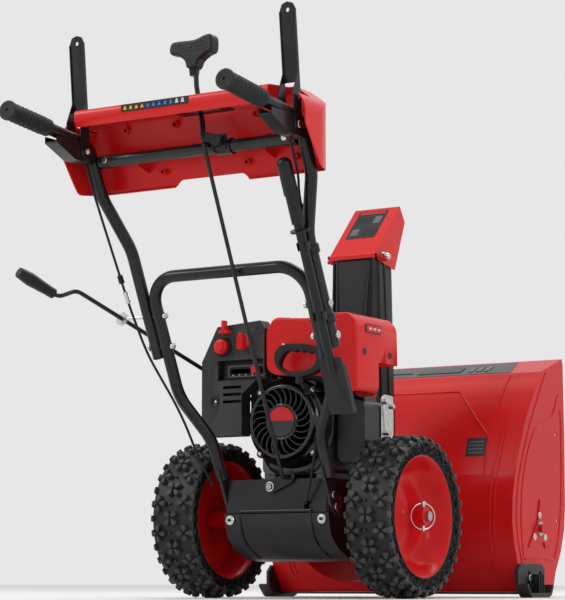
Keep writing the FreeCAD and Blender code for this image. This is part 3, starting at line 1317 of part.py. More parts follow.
# ---- write every node ---------------------------------------------------------------------
def build():
    """Make every node of the snowblower."""
    os.makedirs("parts", exist_ok=True)
    save("side_plates", both_sides(make_side_plate()))
    save("auger_housing", make_back_sheet())
    save("impeller_housing", make_drum())
    save("scraper_bar", make_scraper())
    save("skid_shoes", both_sides(make_skid_shoe()))
    save("auger_gearbox", make_gearbox())
    save("auger", [make_auger_shaft()] + both_sides(ribbon_auger()))
    save("impeller", [make_impeller(), make_impeller_shaft()])

    save("frame_box", make_frame_box())
    save("rear_plate", make_rear_plate())
    save("bottom_cover", make_bottom_cover())
    save("drive_axle", [make_axle(), make_axle_gear()])
    save("hex_shaft", make_hex_shaft())
    save("friction_wheel", make_friction_wheel())
    save("friction_disc", make_friction_disc())
    save("shaft_bushes", make_bushes())
    save("wheel_rims", both_sides(make_rim()))
    save("tyres", both_sides(make_tyre()))
    save("wheel_pins", both_sides(make_wheel_pin()))

    save("engine_block", make_engine_block())
    save("crankshaft", [make_crankshaft(), make_flywheel()])
    save("recoil_cover", make_recoil_cover())
    save("starter_handle", make_starter_handle())
    save("starter_cord", make_starter_cord())
    save("control_panel", make_control_panel())
    save("choke_knob", make_choke_knob())
    save("primer_button", make_primer())
    save("ignition_key", make_key())
    save("throttle_slider", make_throttle())
    save("engine_top_cover", make_top_cover())
    save("fuel_tank", make_fuel_tank())
    save("fuel_cap", make_fuel_cap())
    save("muffler", make_muffler())
    save("belt_cover", make_belt_cover())
    save("drive_belts", make_belts())

    save("lower_handle", make_lower_handle())
    upper = make_upper_handle()
    save("handle_right", upper)
    save("handle_left", mirrored(upper))
    save("crossbar", make_crossbar())
    save("handle_grips", both_sides(make_grip()))
    save("lever_brackets", both_sides(make_lever_bracket()))
    lever = make_clutch_lever()
    save("auger_lever", lever)
    save("drive_lever", mirrored(lever))
    save("dash_panel", make_dash())
    save("gate_plate", make_gate_plate())
    save("shift_bracket", make_shift_bracket())
    save("shift_lever", make_shift_lever())
    save("shift_knob", make_shift_knob())
    save("shift_rod", make_shift_rod())
    save("shift_arm", make_shift_arm())

    save("chute", make_chute())
    save("deflector", [make_deflector()] + make_wing_knobs())
    save("crank_rod", make_crank_rod())
    save("crank_grip", make_crank_grip())
    save("crank_supports", [make_eye_bolt(), make_worm_bracket()])
    save("clean_out_tool", make_clean_out_tool())
    save("tool_clips", make_tool_clips())
    routes = [left_cable_route(), right_cable_route()]
    save("clutch_cables", [make_cable(route) for route in routes] + make_cable_fittings())
    save("handle_bolts", make_handle_bolts() + make_lever_pivots())
    save("flange_bolts", make_housing_bolts() + make_chassis_screws())


build()
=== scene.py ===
"""Looks of the two stage snowblower: detailed pieces, materials, light and camera."""

import json
import math

import bmesh
import bpy
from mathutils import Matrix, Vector

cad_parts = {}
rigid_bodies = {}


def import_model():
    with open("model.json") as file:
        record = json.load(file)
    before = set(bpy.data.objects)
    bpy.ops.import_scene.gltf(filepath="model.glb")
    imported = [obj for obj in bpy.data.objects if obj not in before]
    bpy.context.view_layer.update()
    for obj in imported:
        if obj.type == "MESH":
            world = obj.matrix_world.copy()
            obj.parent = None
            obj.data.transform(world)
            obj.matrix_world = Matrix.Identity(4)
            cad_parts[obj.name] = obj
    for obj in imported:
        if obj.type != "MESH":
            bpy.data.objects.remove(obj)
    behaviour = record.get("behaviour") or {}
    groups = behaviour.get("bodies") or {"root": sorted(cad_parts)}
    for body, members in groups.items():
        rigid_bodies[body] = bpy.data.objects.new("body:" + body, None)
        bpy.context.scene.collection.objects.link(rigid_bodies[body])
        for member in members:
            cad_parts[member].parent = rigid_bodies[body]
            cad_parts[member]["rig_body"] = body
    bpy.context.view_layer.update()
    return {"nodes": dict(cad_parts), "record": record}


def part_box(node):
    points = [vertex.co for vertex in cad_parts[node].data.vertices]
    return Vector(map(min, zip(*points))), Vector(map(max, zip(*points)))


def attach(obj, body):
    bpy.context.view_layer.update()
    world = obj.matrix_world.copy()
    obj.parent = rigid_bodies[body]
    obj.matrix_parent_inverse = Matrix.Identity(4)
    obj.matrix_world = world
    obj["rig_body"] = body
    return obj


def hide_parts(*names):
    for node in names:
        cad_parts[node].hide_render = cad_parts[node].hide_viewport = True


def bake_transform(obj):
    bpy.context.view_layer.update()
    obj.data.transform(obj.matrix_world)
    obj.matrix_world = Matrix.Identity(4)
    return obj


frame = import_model()

# ---- places, worked out from the frame ----------------------------------------------------
MM = 0.001
RIGHT = (1, 0, 0)
AHEAD = (0, 1, 0)
BACK = (0, -1, 0)
UP = (0, 0, 1)
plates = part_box("side_plates")
tyre_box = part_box("tyres")
MID_X = (plates[0].x + plates[1].x) / 2
AXLE_Y = (tyre_box[0].y + tyre_box[1].y) / 2


def at(x, y, z):
    """A point given in millimetres from under the middle of the wheel axle."""
    return Vector((MID_X + x * MM, AXLE_Y + y * MM, z * MM))


# ---- materials ----------------------------------------------------------------------------
GRAIN_DEPTH = 0.0002


def noise(tree, place, scale, detail):
    """A noise texture in the piece's own coordinates."""
    node = tree.nodes.new("ShaderNodeTexNoise")
    node.inputs["Scale"].default_value = scale
    node.inputs["Detail"].default_value = detail
    tree.links.new(place.outputs["Object"], node.inputs["Vector"])
    return node


def wear_and_highlight_edges(tree, colour_out, cloud, wear_and_highlight):
    """Mix a lighter colour in along sharp edges and block tops, in patches: partly wear, partly
    painted highlight.
    """
    nodes, links = tree.nodes, tree.links
    edge = nodes.new("ShaderNodeNewGeometry")
    pick = nodes.new("ShaderNodeMapRange")
    pick.inputs["From Min"].default_value = 0.52
    pick.inputs["From Max"].default_value = 0.62
    links.new(edge.outputs["Pointiness"], pick.inputs["Value"])
    amount = nodes.new("ShaderNodeMath")
    amount.operation = "MULTIPLY"
    links.new(pick.outputs["Result"], amount.inputs[0])
    links.new(cloud.outputs["Fac"], amount.inputs[1])
    mix = nodes.new("ShaderNodeMix")
    mix.data_type = "RGBA"
    links.new(amount.outputs["Value"], mix.inputs["Factor"])
    links.new(colour_out, mix.inputs["A"])
    mix.inputs["B"].default_value = (*wear_and_highlight, 1)
    return mix.outputs["Result"]


def surface(name, colour, rough, metallic=0.0, coat=0.0, shade=0.12, patch=0.08, grain=900.0,
            bump=0.08, wear_and_highlight=None, sheen=0.0, gleam=0.5):
    """A finish whose colour, roughness and grain all vary over the piece."""
    mat = bpy.data.materials.new(name)
    mat.use_nodes = True
    tree = mat.node_tree
    nodes, links = tree.nodes, tree.links
    shader = nodes["Principled BSDF"]
    for socket, value in (("Metallic", metallic), ("Specular IOR Level", gleam),
                          ("Coat Weight", coat), ("Coat Roughness", 0.08),
                          ("Sheen Weight", sheen)):
        shader.inputs[socket].default_value = value

    place = nodes.new("ShaderNodeTexCoord")
    cloud = noise(tree, place, 1 / patch, 6)
    ramp = nodes.new("ShaderNodeValToRGB")
    dark = [c * (1 - shade) for c in colour]
    light = [min(1, c * (1 + shade) + 0.004 * shade) for c in colour]
    for element, position, tone in zip(ramp.color_ramp.elements, (0.3, 0.7), (dark, light)):
        element.position = position
        element.color = (*tone, 1)
    links.new(cloud.outputs["Fac"], ramp.inputs["Fac"])
    colour_out = ramp.outputs["Color"]
    fine = noise(tree, place, grain, 3)
    # the lighter edge colour is partly wear, partly painted highlight on edges and tread tops
    if wear_and_highlight:
        colour_out = wear_and_highlight_edges(tree, colour_out, cloud, wear_and_highlight)
    links.new(colour_out, shader.inputs["Base Color"])

    spread = nodes.new("ShaderNodeMapRange")
    spread.inputs["To Min"].default_value = max(0.03, rough - 0.07)
    spread.inputs["To Max"].default_value = min(1, rough + 0.09)
    links.new(cloud.outputs["Fac"], spread.inputs["Value"])
    links.new(spread.outputs["Result"], shader.inputs["Roughness"])

    relief = nodes.new("ShaderNodeBump")
    relief.inputs["Strength"].default_value = bump
    relief.inputs["Distance"].default_value = GRAIN_DEPTH
    links.new(fine.outputs["Fac"], relief.inputs["Height"])
    links.new(relief.outputs["Normal"], shader.inputs["Normal"])
    return mat


RED = (0.55, 0.004, 0.006)
# lighter edge colours: partly wear, partly painted highlight along sharp edges
RED_WEAR_AND_HIGHLIGHT = (0.62, 0.03, 0.025)
BLACK_WEAR_AND_HIGHLIGHT = (0.03, 0.03, 0.03)
FINISHES = {
    "red_paint": dict(colour=RED, rough=0.27, coat=0.06, shade=0.07, patch=0.25, grain=420,
                      bump=0.05, wear_and_highlight=RED_WEAR_AND_HIGHLIGHT, gleam=0.16),
    "red_plastic": dict(colour=(0.60, 0.005, 0.006), rough=0.30, coat=0.06, shade=0.06, patch=0.18,
                        grain=1400, bump=0.06, wear_and_highlight=RED_WEAR_AND_HIGHLIGHT, gleam=0.25),
    "black_paint": dict(colour=(0.0045, 0.0045, 0.005), rough=0.30, coat=0.12, shade=0.3,
                        patch=0.05, grain=700, bump=0.1, wear_and_highlight=BLACK_WEAR_AND_HIGHLIGHT, gleam=0.3),
    "black_gloss_plastic": dict(colour=(0.003, 0.003, 0.0035), rough=0.14, coat=0.5, shade=0.3,
                                patch=0.07, grain=1500, bump=0.03, wear_and_highlight=BLACK_WEAR_AND_HIGHLIGHT, gleam=0.3),
    "black_plastic": dict(colour=(0.005, 0.005, 0.0055), rough=0.38, shade=0.3, patch=0.04,
                          grain=2200, bump=0.3, wear_and_highlight=BLACK_WEAR_AND_HIGHLIGHT, gleam=0.32),
    "grey_plastic": dict(colour=(0.014, 0.0145, 0.0155), rough=0.38, shade=0.2, patch=0.06,
                         grain=2200, bump=0.3, wear_and_highlight=(0.06, 0.06, 0.06), gleam=0.35),
    "soft_rubber": dict(colour=(0.009, 0.009, 0.0095), rough=0.6, shade=0.3, patch=0.03, grain=1800,
                        bump=0.4, wear_and_highlight=(0.04, 0.04, 0.04), gleam=0.3),
    # the tyre's lighter edge colour is partly wear, partly painted highlight on the tread block tops
    "tyre_rubber": dict(colour=(0.006, 0.006, 0.006), rough=0.5, shade=0.35, patch=0.02, grain=1100,
                        bump=0.5, wear_and_highlight=(0.07, 0.07, 0.07), gleam=0.35),
    "steel": dict(colour=(0.42, 0.42, 0.43), rough=0.30, metallic=1, shade=0.1, patch=0.03,
                  grain=1600, bump=0.05),
    "zinc_steel": dict(colour=(0.60, 0.60, 0.58), rough=0.24, metallic=1, shade=0.15, patch=0.01,
                       grain=1300, bump=0.05),
    "cast_aluminium": dict(colour=(0.16, 0.16, 0.165), rough=0.5, metallic=0.85, shade=0.15,
                           patch=0.03, grain=900, bump=0.4),
    "cast_iron": dict(colour=(0.06, 0.06, 0.063), rough=0.55, metallic=0.8, shade=0.25, patch=0.03,
                      grain=800, bump=0.5),
    "cord": dict(colour=(0.012, 0.012, 0.013), rough=0.8, shade=0.3, patch=0.004, grain=2500,
                 bump=0.8, sheen=0.15, gleam=0.3),
    "belt_rubber": dict(colour=(0.004, 0.004, 0.0045), rough=0.45, shade=0.3, patch=0.02,
                        grain=1500, bump=0.3, gleam=0.3),
    "white_ink": dict(colour=(0.55, 0.55, 0.55), rough=0.4, shade=0.04, gleam=0.3),
    "grey_ink": dict(colour=(0.12, 0.12, 0.12), rough=0.4, shade=0.06, gleam=0.3),
    "yellow_ink": dict(colour=(0.70, 0.36, 0.01), rough=0.4, shade=0.04, gleam=0.3),
    "blue_ink": dict(colour=(0.01, 0.16, 0.50), rough=0.4, shade=0.04, gleam=0.3),
    "dark_label": dict(colour=(0.010, 0.010, 0.011), rough=0.3, shade=0.15, patch=0.02, gleam=0.35),
    "grey_label": dict(colour=(0.030, 0.030, 0.032), rough=0.38, shade=0.08, patch=0.02, gleam=0.3),
    "red_label": dict(colour=(0.50, 0.006, 0.008), rough=0.3, shade=0.05, patch=0.02, gleam=0.35),
}
MATERIALS = {name: surface(name, **finish) for name, finish in FINISHES.items()}


def slot_of(node):
    """The record's material slot of a CAD node."""
    for part in frame["record"]["subparts"]:
        if part["node"] == node:
            return part["material_slot"]
    raise ValueError(node)


def body_of(node):
    """The body that a CAD node moves with."""
    return frame["nodes"][node]["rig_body"]


# ---- mesh helpers -------------------------------------------------------------------------
def smooth(mesh, angle=32):
    """Smooth shading with sharp edges where faces turn by more than the angle."""
    mesh.polygons.foreach_set("use_smooth", [True] * len(mesh.polygons))
    mesh.set_sharp_from_angle(angle=math.radians(angle))
    mesh.update()


def placed(name, data):
    """A new object in the scene."""
    obj = bpy.data.objects.new(name, data)
    bpy.context.scene.collection.objects.link(obj)
    return obj


def piece_from(name, bm, angle=32):
    """A new object from a bmesh."""
    mesh = bpy.data.meshes.new(name)
    bmesh.ops.recalc_face_normals(bm, faces=bm.faces)
    bm.to_mesh(mesh)
    bm.free()
    smooth(mesh, angle)
    return placed(name, mesh)


def even_normals(obj):
    """Keep large flat faces flat in the shading, up to their rounded edges."""
    weighted = obj.modifiers.new("weighted", "WEIGHTED_NORMAL")
    weighted.keep_sharp = True
    weighted.weight = 80
    return apply_modifiers(obj)


def settle(obj, body, slot, *nodes, material=None):
    """Give a piece its material, its slot and the body it rides on."""
    coloured(obj, material or slot)
    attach(obj, body)
    if nodes:
        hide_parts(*nodes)


def apply_modifiers(obj):
    """Turn a piece's modifiers into its mesh."""
    bpy.context.view_layer.update()
    graph = bpy.context.evaluated_depsgraph_get()
    mesh = bpy.data.meshes.new_from_object(obj.evaluated_get(graph))
    obj.modifiers.clear()
    obj.data = mesh
    return obj


def boolean(obj, tool, operation):
    """Cut a piece with a tool, which is used up."""
    mod = obj.modifiers.new("cut", "BOOLEAN")
    mod.operation = operation
    mod.solver = "EXACT"
    mod.object = tool
    apply_modifiers(obj)
    bpy.data.objects.remove(tool)


def hollowed(obj, is_open, wall_mm, merge=0.0, even=False):
    """Drop the faces of the open side and give the rest a wall."""
    bm = bmesh.new()
    bm.from_mesh(obj.data)
    if merge:
        bmesh.ops.remove_doubles(bm, verts=bm.verts, dist=merge)
    bmesh.ops.delete(bm, geom=[f for f in bm.faces if is_open(f)], context="FACES")
    bm.to_mesh(obj.data)
    bm.free()
    wall = obj.modifiers.new("wall", "SOLIDIFY")
    wall.thickness = wall_mm * MM
    wall.offset = -1
    wall.use_even_offset = even
    apply_modifiers(obj)


def soften_edges(bm, width, angle=32, segments=2):
    """Round the sharp edges of a bmesh."""
    limit = math.radians(angle)
    sharp = [e for e in bm.edges if len(e.link_faces) == 2 and e.calc_face_angle(0) > limit]
    bmesh.ops.bevel(bm, geom=sharp, offset=width * MM, offset_type="OFFSET", segments=segments,
                    profile=0.5, affect="EDGES", clamp_overlap=True)


def softened(node, width):
    """A copy of a CAD node with its edges rounded, standing for that node."""
    bm = bmesh.new()
    bm.from_mesh(frame["nodes"][node].data)
    bmesh.ops.remove_doubles(bm, verts=bm.verts, dist=2e-6)
    bmesh.ops.dissolve_limit(bm, angle_limit=math.radians(1.0), verts=bm.verts, edges=bm.edges)
    soften_edges(bm, width)
    obj = even_normals(piece_from(node + "_soft", bm, 40))
    settle(obj, body_of(node), slot_of(node), node)


def join_meshes(name, objects):
    """One object from several, keeping their materials."""
    bm = bmesh.new()
    materials = []
    for obj in objects:
        mesh = obj.data
        for mat in mesh.materials:
            if mat not in materials:
                materials.append(mat)
        start = len(bm.faces)
        bm.from_mesh(mesh)
        bm.faces.ensure_lookup_table()
        for face in bm.faces[start:]:
            mat = mesh.materials[face.material_index] if mesh.materials else None
            face.material_index = materials.index(mat) if mat else 0
    out = bpy.data.meshes.new(name)
    bm.to_mesh(out)
    bm.free()
    for mat in materials:
        out.materials.append(mat)
    smooth(out)
    for obj in objects:
        bpy.data.objects.remove(obj)
    return placed(name, out)


def joined(name, parts, body, slot, *nodes):
    """One piece from several parts; a part without a material gets the slot's."""
    for part in parts:
        if not part.data.materials:
            coloured(part, slot)
    obj = join_meshes(name, parts)
    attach(obj, body)
    if nodes:
        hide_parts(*nodes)


def skin(bm, rows, around=True):
    """Faces between neighbouring rows of vertices."""
    for low, high in zip(rows, rows[1:]):
        count = len(low)
        for i in range(count if around else count - 1):
            j = (i + 1) % count
            bm.faces.new((low[i], low[j], high[j], high[i]))


def axes_for(axis):
    """Two directions square to an axis."""
    axis = Vector(axis).normalized()
    helper = Vector(UP) if abs(axis.z) < 0.9 else Vector(AHEAD)
    first = axis.cross(helper).normalized()
    return axis, first, axis.cross(first).normalized()


def lathe(bm, profile, centre, axis, steps=48, radius_of=None, closed=False):
    """Spin a (radius, along) profile in millimetres about an axis; radius_of can vary it."""
    axis, first, second = axes_for(axis)
    rings = []
    for radius, along in profile:
        row = []
        for i in range(steps):
            turn = 2 * math.pi * i / steps
            r, a = (radius, along) if radius_of is None else radius_of(radius, along, turn)
            out = first * math.cos(turn) + second * math.sin(turn)
            row.append(bm.verts.new(centre + out * r * MM + axis * a * MM))
        rings.append(row)
    skin(bm, rings + rings[:1] if closed else rings)
    if not closed:
        for row in (rings[0], rings[-1]):
            if (row[0].co - row[steps // 2].co).length > 1e-7:
                bm.faces.new(row)
    return bm


def lathed(name, profile, centre, axis, steps=48, **more):
    """A lathe piece on its own."""
    return piece_from(name, lathe(bmesh.new(), profile, centre, axis, steps, **more))


def rounded_loop(points, radius, steps=5):
    """A closed outline with its corners rounded."""
    out = []
    count = len(points)
    for i, (x, y) in enumerate(points):
        corner = Vector((x, y))
        back = Vector(points[i - 1]) - corner
        ahead = Vector(points[(i + 1) % count]) - corner
        reach = min(radius, 0.45 * back.length, 0.45 * ahead.length)
        start = corner + back.normalized() * reach
        end = corner + ahead.normalized() * reach
        for k in range(steps + 1):
            t = k / steps
            out.append(start * (1 - t) ** 2 + corner * 2 * t * (1 - t) + end * t * t)
    return out


PLANES = {"x": lambda u, v, w: at(w, u, v), "y": lambda u, v, w: at(u, w, v),
          "z": lambda u, v, w: at(u, v, w)}


def prism(bm, loop, low, high, plane="y"):
    """A closed outline drawn out between two heights along x, y or z."""
    place = PLANES[plane]
    bottom = [bm.verts.new(place(u, v, low)) for u, v in loop]
    top = [bm.verts.new(place(u, v, high)) for u, v in loop]
    bm.faces.new(bottom)
    bm.faces.new(top[::-1])
    skin(bm, [bottom, top])
    return bm


def drawn(name, loop, low, high, plane="y"):
    """A prism as a piece."""
    return piece_from(name, prism(bmesh.new(), loop, low, high, plane))


def rectangle(u0, u1, v0, v1):
    """The outline of a rectangle."""
    return [(u0, v0), (u1, v0), (u1, v1), (u0, v1)]


def block(name, x0, x1, y0, y1, z0, z1):
    """A box between two corners."""
    return drawn(name, rectangle(x0, x1, z0, z1), y0, y1)


def plate(name, loop, low, high, plane="y", edge=0.6, segments=2):
    """A prism with rounded edges, as a piece."""
    bm = prism(bmesh.new(), loop, low, high, plane)
    bmesh.ops.recalc_face_normals(bm, faces=bm.faces)
    soften_edges(bm, edge, 40, segments)
    return even_normals(piece_from(name, bm, 40))


def cut(obj, tools):
    """Take tools away from a piece."""
    for tool in tools:
        boolean(obj, tool, "DIFFERENCE")
    smooth(obj.data, 35)
    return obj


def tube_along(name, points, radius, cyclic=False, resolution=6, order=4):
    """A smooth round tube along a NURBS line through millimetre points."""
    curve = bpy.data.curves.new(name, "CURVE")
    curve.dimensions = "3D"
    curve.bevel_depth = radius * MM
    curve.bevel_resolution = 3
    curve.resolution_u = resolution
    spline = curve.splines.new("NURBS")
    spline.points.add(len(points) - 1)
    for point, place in zip(spline.points, points):
        point.co = (*at(*place), 1)
    spline.order_u = order
    spline.use_endpoint_u = not cyclic
    spline.use_cyclic_u = cyclic
    curve.use_fill_caps = not cyclic
    obj = placed(name, curve)
    bpy.context.view_layer.update()
    mesh = bpy.data.meshes.new_from_object(obj)
    bpy.data.objects.remove(obj)
    smooth(mesh, 50)
    return placed(name, mesh)


def coloured(obj, material):
    """Set the one material of a piece, by its name."""
    obj.data.materials.clear()
    obj.data.materials.append(MATERIALS[material])
    return obj


# ---- wheels -------------------------------------------------------------------------------
WHEEL_X = 233.0
WHEEL_Z = (tyre_box[0].z + tyre_box[1].z) / 2 / MM
CARCASS_R = 150.0         # the tread blocks start below the carcass's skin
TREAD_R = 164.6
TREAD_HALF = 51.6         # half the tyre's width
LUG_SPACING_R = 160.0     # radius at which a block's length is measured round the tyre
CLUSTERS = 16
LATTICE_STEPS = 30
SHOULDER_HALF = 0.042


def on_wheel(side, x, radius, angle):
    """A point of a wheel, from its distance along the axle, its radius and its angle."""
    return at(side * WHEEL_X + x, radius * math.cos(angle), WHEEL_Z + radius * math.sin(angle))


def tread_block(bm, side, across, turn, heading, length, width, top):
    """One tapered rubber block, pointed towards the middle of its cluster."""
    base = [(3.0, 0.0), (8.0, width / 2), (length, width / 2 + 0.6), (length, -width / 2 - 0.6),
            (8.0, -width / 2)]
    rows = []
    for inset, radius in ((0.0, CARCASS_R), (0.0, top - 1.6), (1.1, top)):
        row = []
        for u, v in base:
            u += -inset if u > 10 else inset
            v -= math.copysign(inset, v) if v else 0
            x = across + u * math.cos(heading) - v * math.sin(heading)
            x = max(-TREAD_HALF, min(TREAD_HALF, x))
            arc = u * math.sin(heading) + v * math.cos(heading)
            crown = radius - 9.0 * max(0.0, (abs(x) - 30) / 22) ** 2
            angle = turn + arc / LUG_SPACING_R
            row.append(bm.verts.new(on_wheel(side, x, crown, angle)))
        rows.append(row)
    skin(bm, rows)
    bm.faces.new(rows[-1])


def tyre(side):
    """Snow tyre: carcass, tread clusters of four blocks, and the latticed side walls."""
    centre = at(side * WHEEL_X, 0, WHEEL_Z)
    bm = bmesh.new()
    half = [(117, 24), (119, 32), (123.2, 36), (123.8, 44.4), (125.4, 45.6), (126.6, 42),
            (131, 41.5), (139, 43), (146, 45), (147.6, 49.4), (151, 50.2), (153, 48), (154, 38),
            (154.8, 20), (155, 0)]
    profile = half + [(r, -x) for r, x in half[-2::-1]]
    lathe(bm, profile, centre, RIGHT, 96, closed=True)
    for i in range(CLUSTERS):
        turn = 2 * math.pi * i / CLUSTERS
        half_step = math.pi / CLUSTERS
        for k in range(4):
            tread_block(bm, side, 0, turn, math.radians(45 + 90 * k), 17.5, 9.5, TREAD_R)
            for across in (-33.0, 33.0):
                tread_block(bm, side, across, turn + half_step, math.radians(90 * k), 17.0, 9.0,
                            TREAD_R)
        for across in (-14.0, 14.0):
            tread_block(bm, side, across, turn + half_step, 0, 9.5, 5.0, 160.0)
    for face_side in (1, -1):
        for i in range(LATTICE_STEPS):
            for lean in (0.23, -0.23):
                lattice_rib(bm, side, face_side, 2 * math.pi * i / LATTICE_STEPS, lean)
        for i in range(CLUSTERS * 2):
            shoulder_block(bm, side, face_side, math.pi * i / CLUSTERS)
    obj = piece_from("tyre_right" if side > 0 else "tyre_left", bm, 28)
    settle(obj, "wheels", "tyre_rubber", "tyres")


def lattice_rib(bm, side, face_side, turn, lean):
    """A thin raised line that crosses the side wall at a slant."""
    line = [(125.2, 45.0), (131, 46.4), (139, 48.4), (147.8, 49.6)]
    rows = []
    for k, (radius, x) in enumerate(line):
        angle = turn + lean * k / (len(line) - 1)
        row = []
        for across, lift in ((-1.1, -3.0), (-0.7, 0.7), (0.7, 0.7), (1.1, -3.0)):
            a = angle + across / radius
            row.append(bm.verts.new(on_wheel(side, face_side * (x + lift), radius, a)))
        rows.append(row)
    skin(bm, rows, around=False)


def shoulder_block(bm, side, face_side, turn):
    """A short bar across the shoulder, which scallops the tyre's outline."""
    rows = []
    for radius, x in ((148.6, 50.0), (149.4, 51.9), (157.5, 51.6), (160.5, 47.0), (155.0, 44.0)):
        row = []
        for share, inner in ((-1, 0.8), (-0.8, 0.0), (0.8, 0.0), (1, 0.8)):
            angle = turn + share * SHOULDER_HALF
            row.append(bm.verts.new(on_wheel(side, face_side * (x - inner), radius - inner, angle)))
        rows.append(row)
    skin(bm, rows, around=False)


def drop_caps(bm):
    """Remove the round end faces that a lathe leaves."""
    for face in [f for f in bm.faces if len(f.verts) > 8]:
        bm.faces.remove(face)


def rim(side):
    """Pressed rim: rolled flange, a deep barrel with eight lobes, and a coned centre."""
    def lobed(radius, along, turn):
        lobe = (0.5 + 0.5 * math.cos(8 * turn)) ** 1.5
        depth = max(0.0, 1 - abs(radius - 104) / 13)
        return radius - 5.0 * lobe * depth, along + 4.0 * lobe * depth

    outer = [(17.2, 51.5), (19.2, 51.5), (19.4, 30), (22, 18), (28, 11), (36, 6), (48, 1), (62, -3),
             (76, -5), (88, -3), (97, 3), (104, 11), (109, 20), (113, 30), (116.5, 37), (120, 42.4),
             (122, 44.6), (123.2, 44.8), (123.8, 43.4), (123.2, 36), (119, 32), (117, 24), (117, 0)]
    bm = bmesh.new()
    axis = (side, 0, 0)
    centre = at(side * WHEEL_X, 0, WHEEL_Z)
    lathe(bm, outer, centre, axis, 128, radius_of=lobed)
    inner = [(117, 2), (117, -24), (119, -32), (123.2, -36), (123.8, -43.4), (123.2, -44.8),
             (122, -44.4), (120, -42), (116, -36), (113, -28), (112, -4), (104, -2), (97, -4),
             (88, -8), (74, -9), (50, -9), (30, -5), (19.4, 2), (19.2, -43), (10.2, -43.4)]
    lathe(bm, inner, centre, axis, 96)
    drop_caps(bm)
    lathe(bm, [(17.2, 51.5), (10.0, 51.3), (10.0, -43.0)], centre, axis, 48)
    drop_caps(bm)
    obj = piece_from("rim_right" if side > 0 else "rim_left", bm, 40)
    settle(obj, "wheels", "red_paint", "wheel_rims")


RING_R = 27.5


def wheel_pin(side):
    """Lynch pin: pin with its head, and the round wire clip round the hub."""
    name = "wheel_pin_" + ("right" if side > 0 else "left")
    x = side * 276.0
    pin = lathed(name, [(0, -31), (2.6, -30), (3.5, -27), (3.5, 22), (5.4, 22.4), (5.6, 29),
                        (4.6, 30.4), (0, 30.6)], at(x, 0, WHEEL_Z), UP, 24)
    ring_points = []
    for i in range(12):
        a = 2 * math.pi * i / 12
        reach = RING_R * math.cos(a)
        ring_points.append((x + side * (0.6 * reach - 1), 0.8 * reach,
                            WHEEL_Z + RING_R * math.sin(a)))
    clip = tube_along(name + "_clip", ring_points, 1.5, cyclic=True, resolution=10)
    link = lathed(name + "_link", [(0, -4), (3.6, -4), (3.8, 4), (0, 4)],
                  at(x, 0, WHEEL_Z + 25), (-side, 0, 0), 20)
    joined(name, [pin, clip, link], "wheels", "zinc_steel", "wheel_pins")


# ---- engine -------------------------------------------------------------------------------
CRANK_Z = 361.0           # height of the crankshaft
RECOIL_Y = -100.0
BADGE_R = 31.0


def curved_rib(bm, turn, inner, outer, width, y0, y1, sweep):
    """A grille rib that curves as it runs outwards."""
    steps = 6
    rows = []
    for k in range(steps + 1):
        t = k / steps
        radius = inner + (outer - inner) * t
        angle = turn + sweep * t * t
        row = []
        for across, y in ((-0.5, y1), (-0.5, y0 + 0.7), (-0.3, y0), (0.3, y0), (0.5, y0 + 0.7),
                          (0.5, y1)):
            a = angle + across * width * (0.8 + 0.4 * t) / radius
            row.append(bm.verts.new(at(radius * math.cos(a), y, CRANK_Z + radius * math.sin(a))))
        rows.append(row)
    skin(bm, rows, around=False)


def badge_half(name, start, sweep, front, material):
    """One half of the round badge: the arc and its chord."""
    loop = []
    for k in range(33):
        a = start + sweep * k / 32
        loop.append((BADGE_R * math.cos(a), CRANK_Z + BADGE_R * math.sin(a)))
    return coloured(plate(name, loop, RECOIL_Y + front, RECOIL_Y + 1.8, edge=0.3), material)


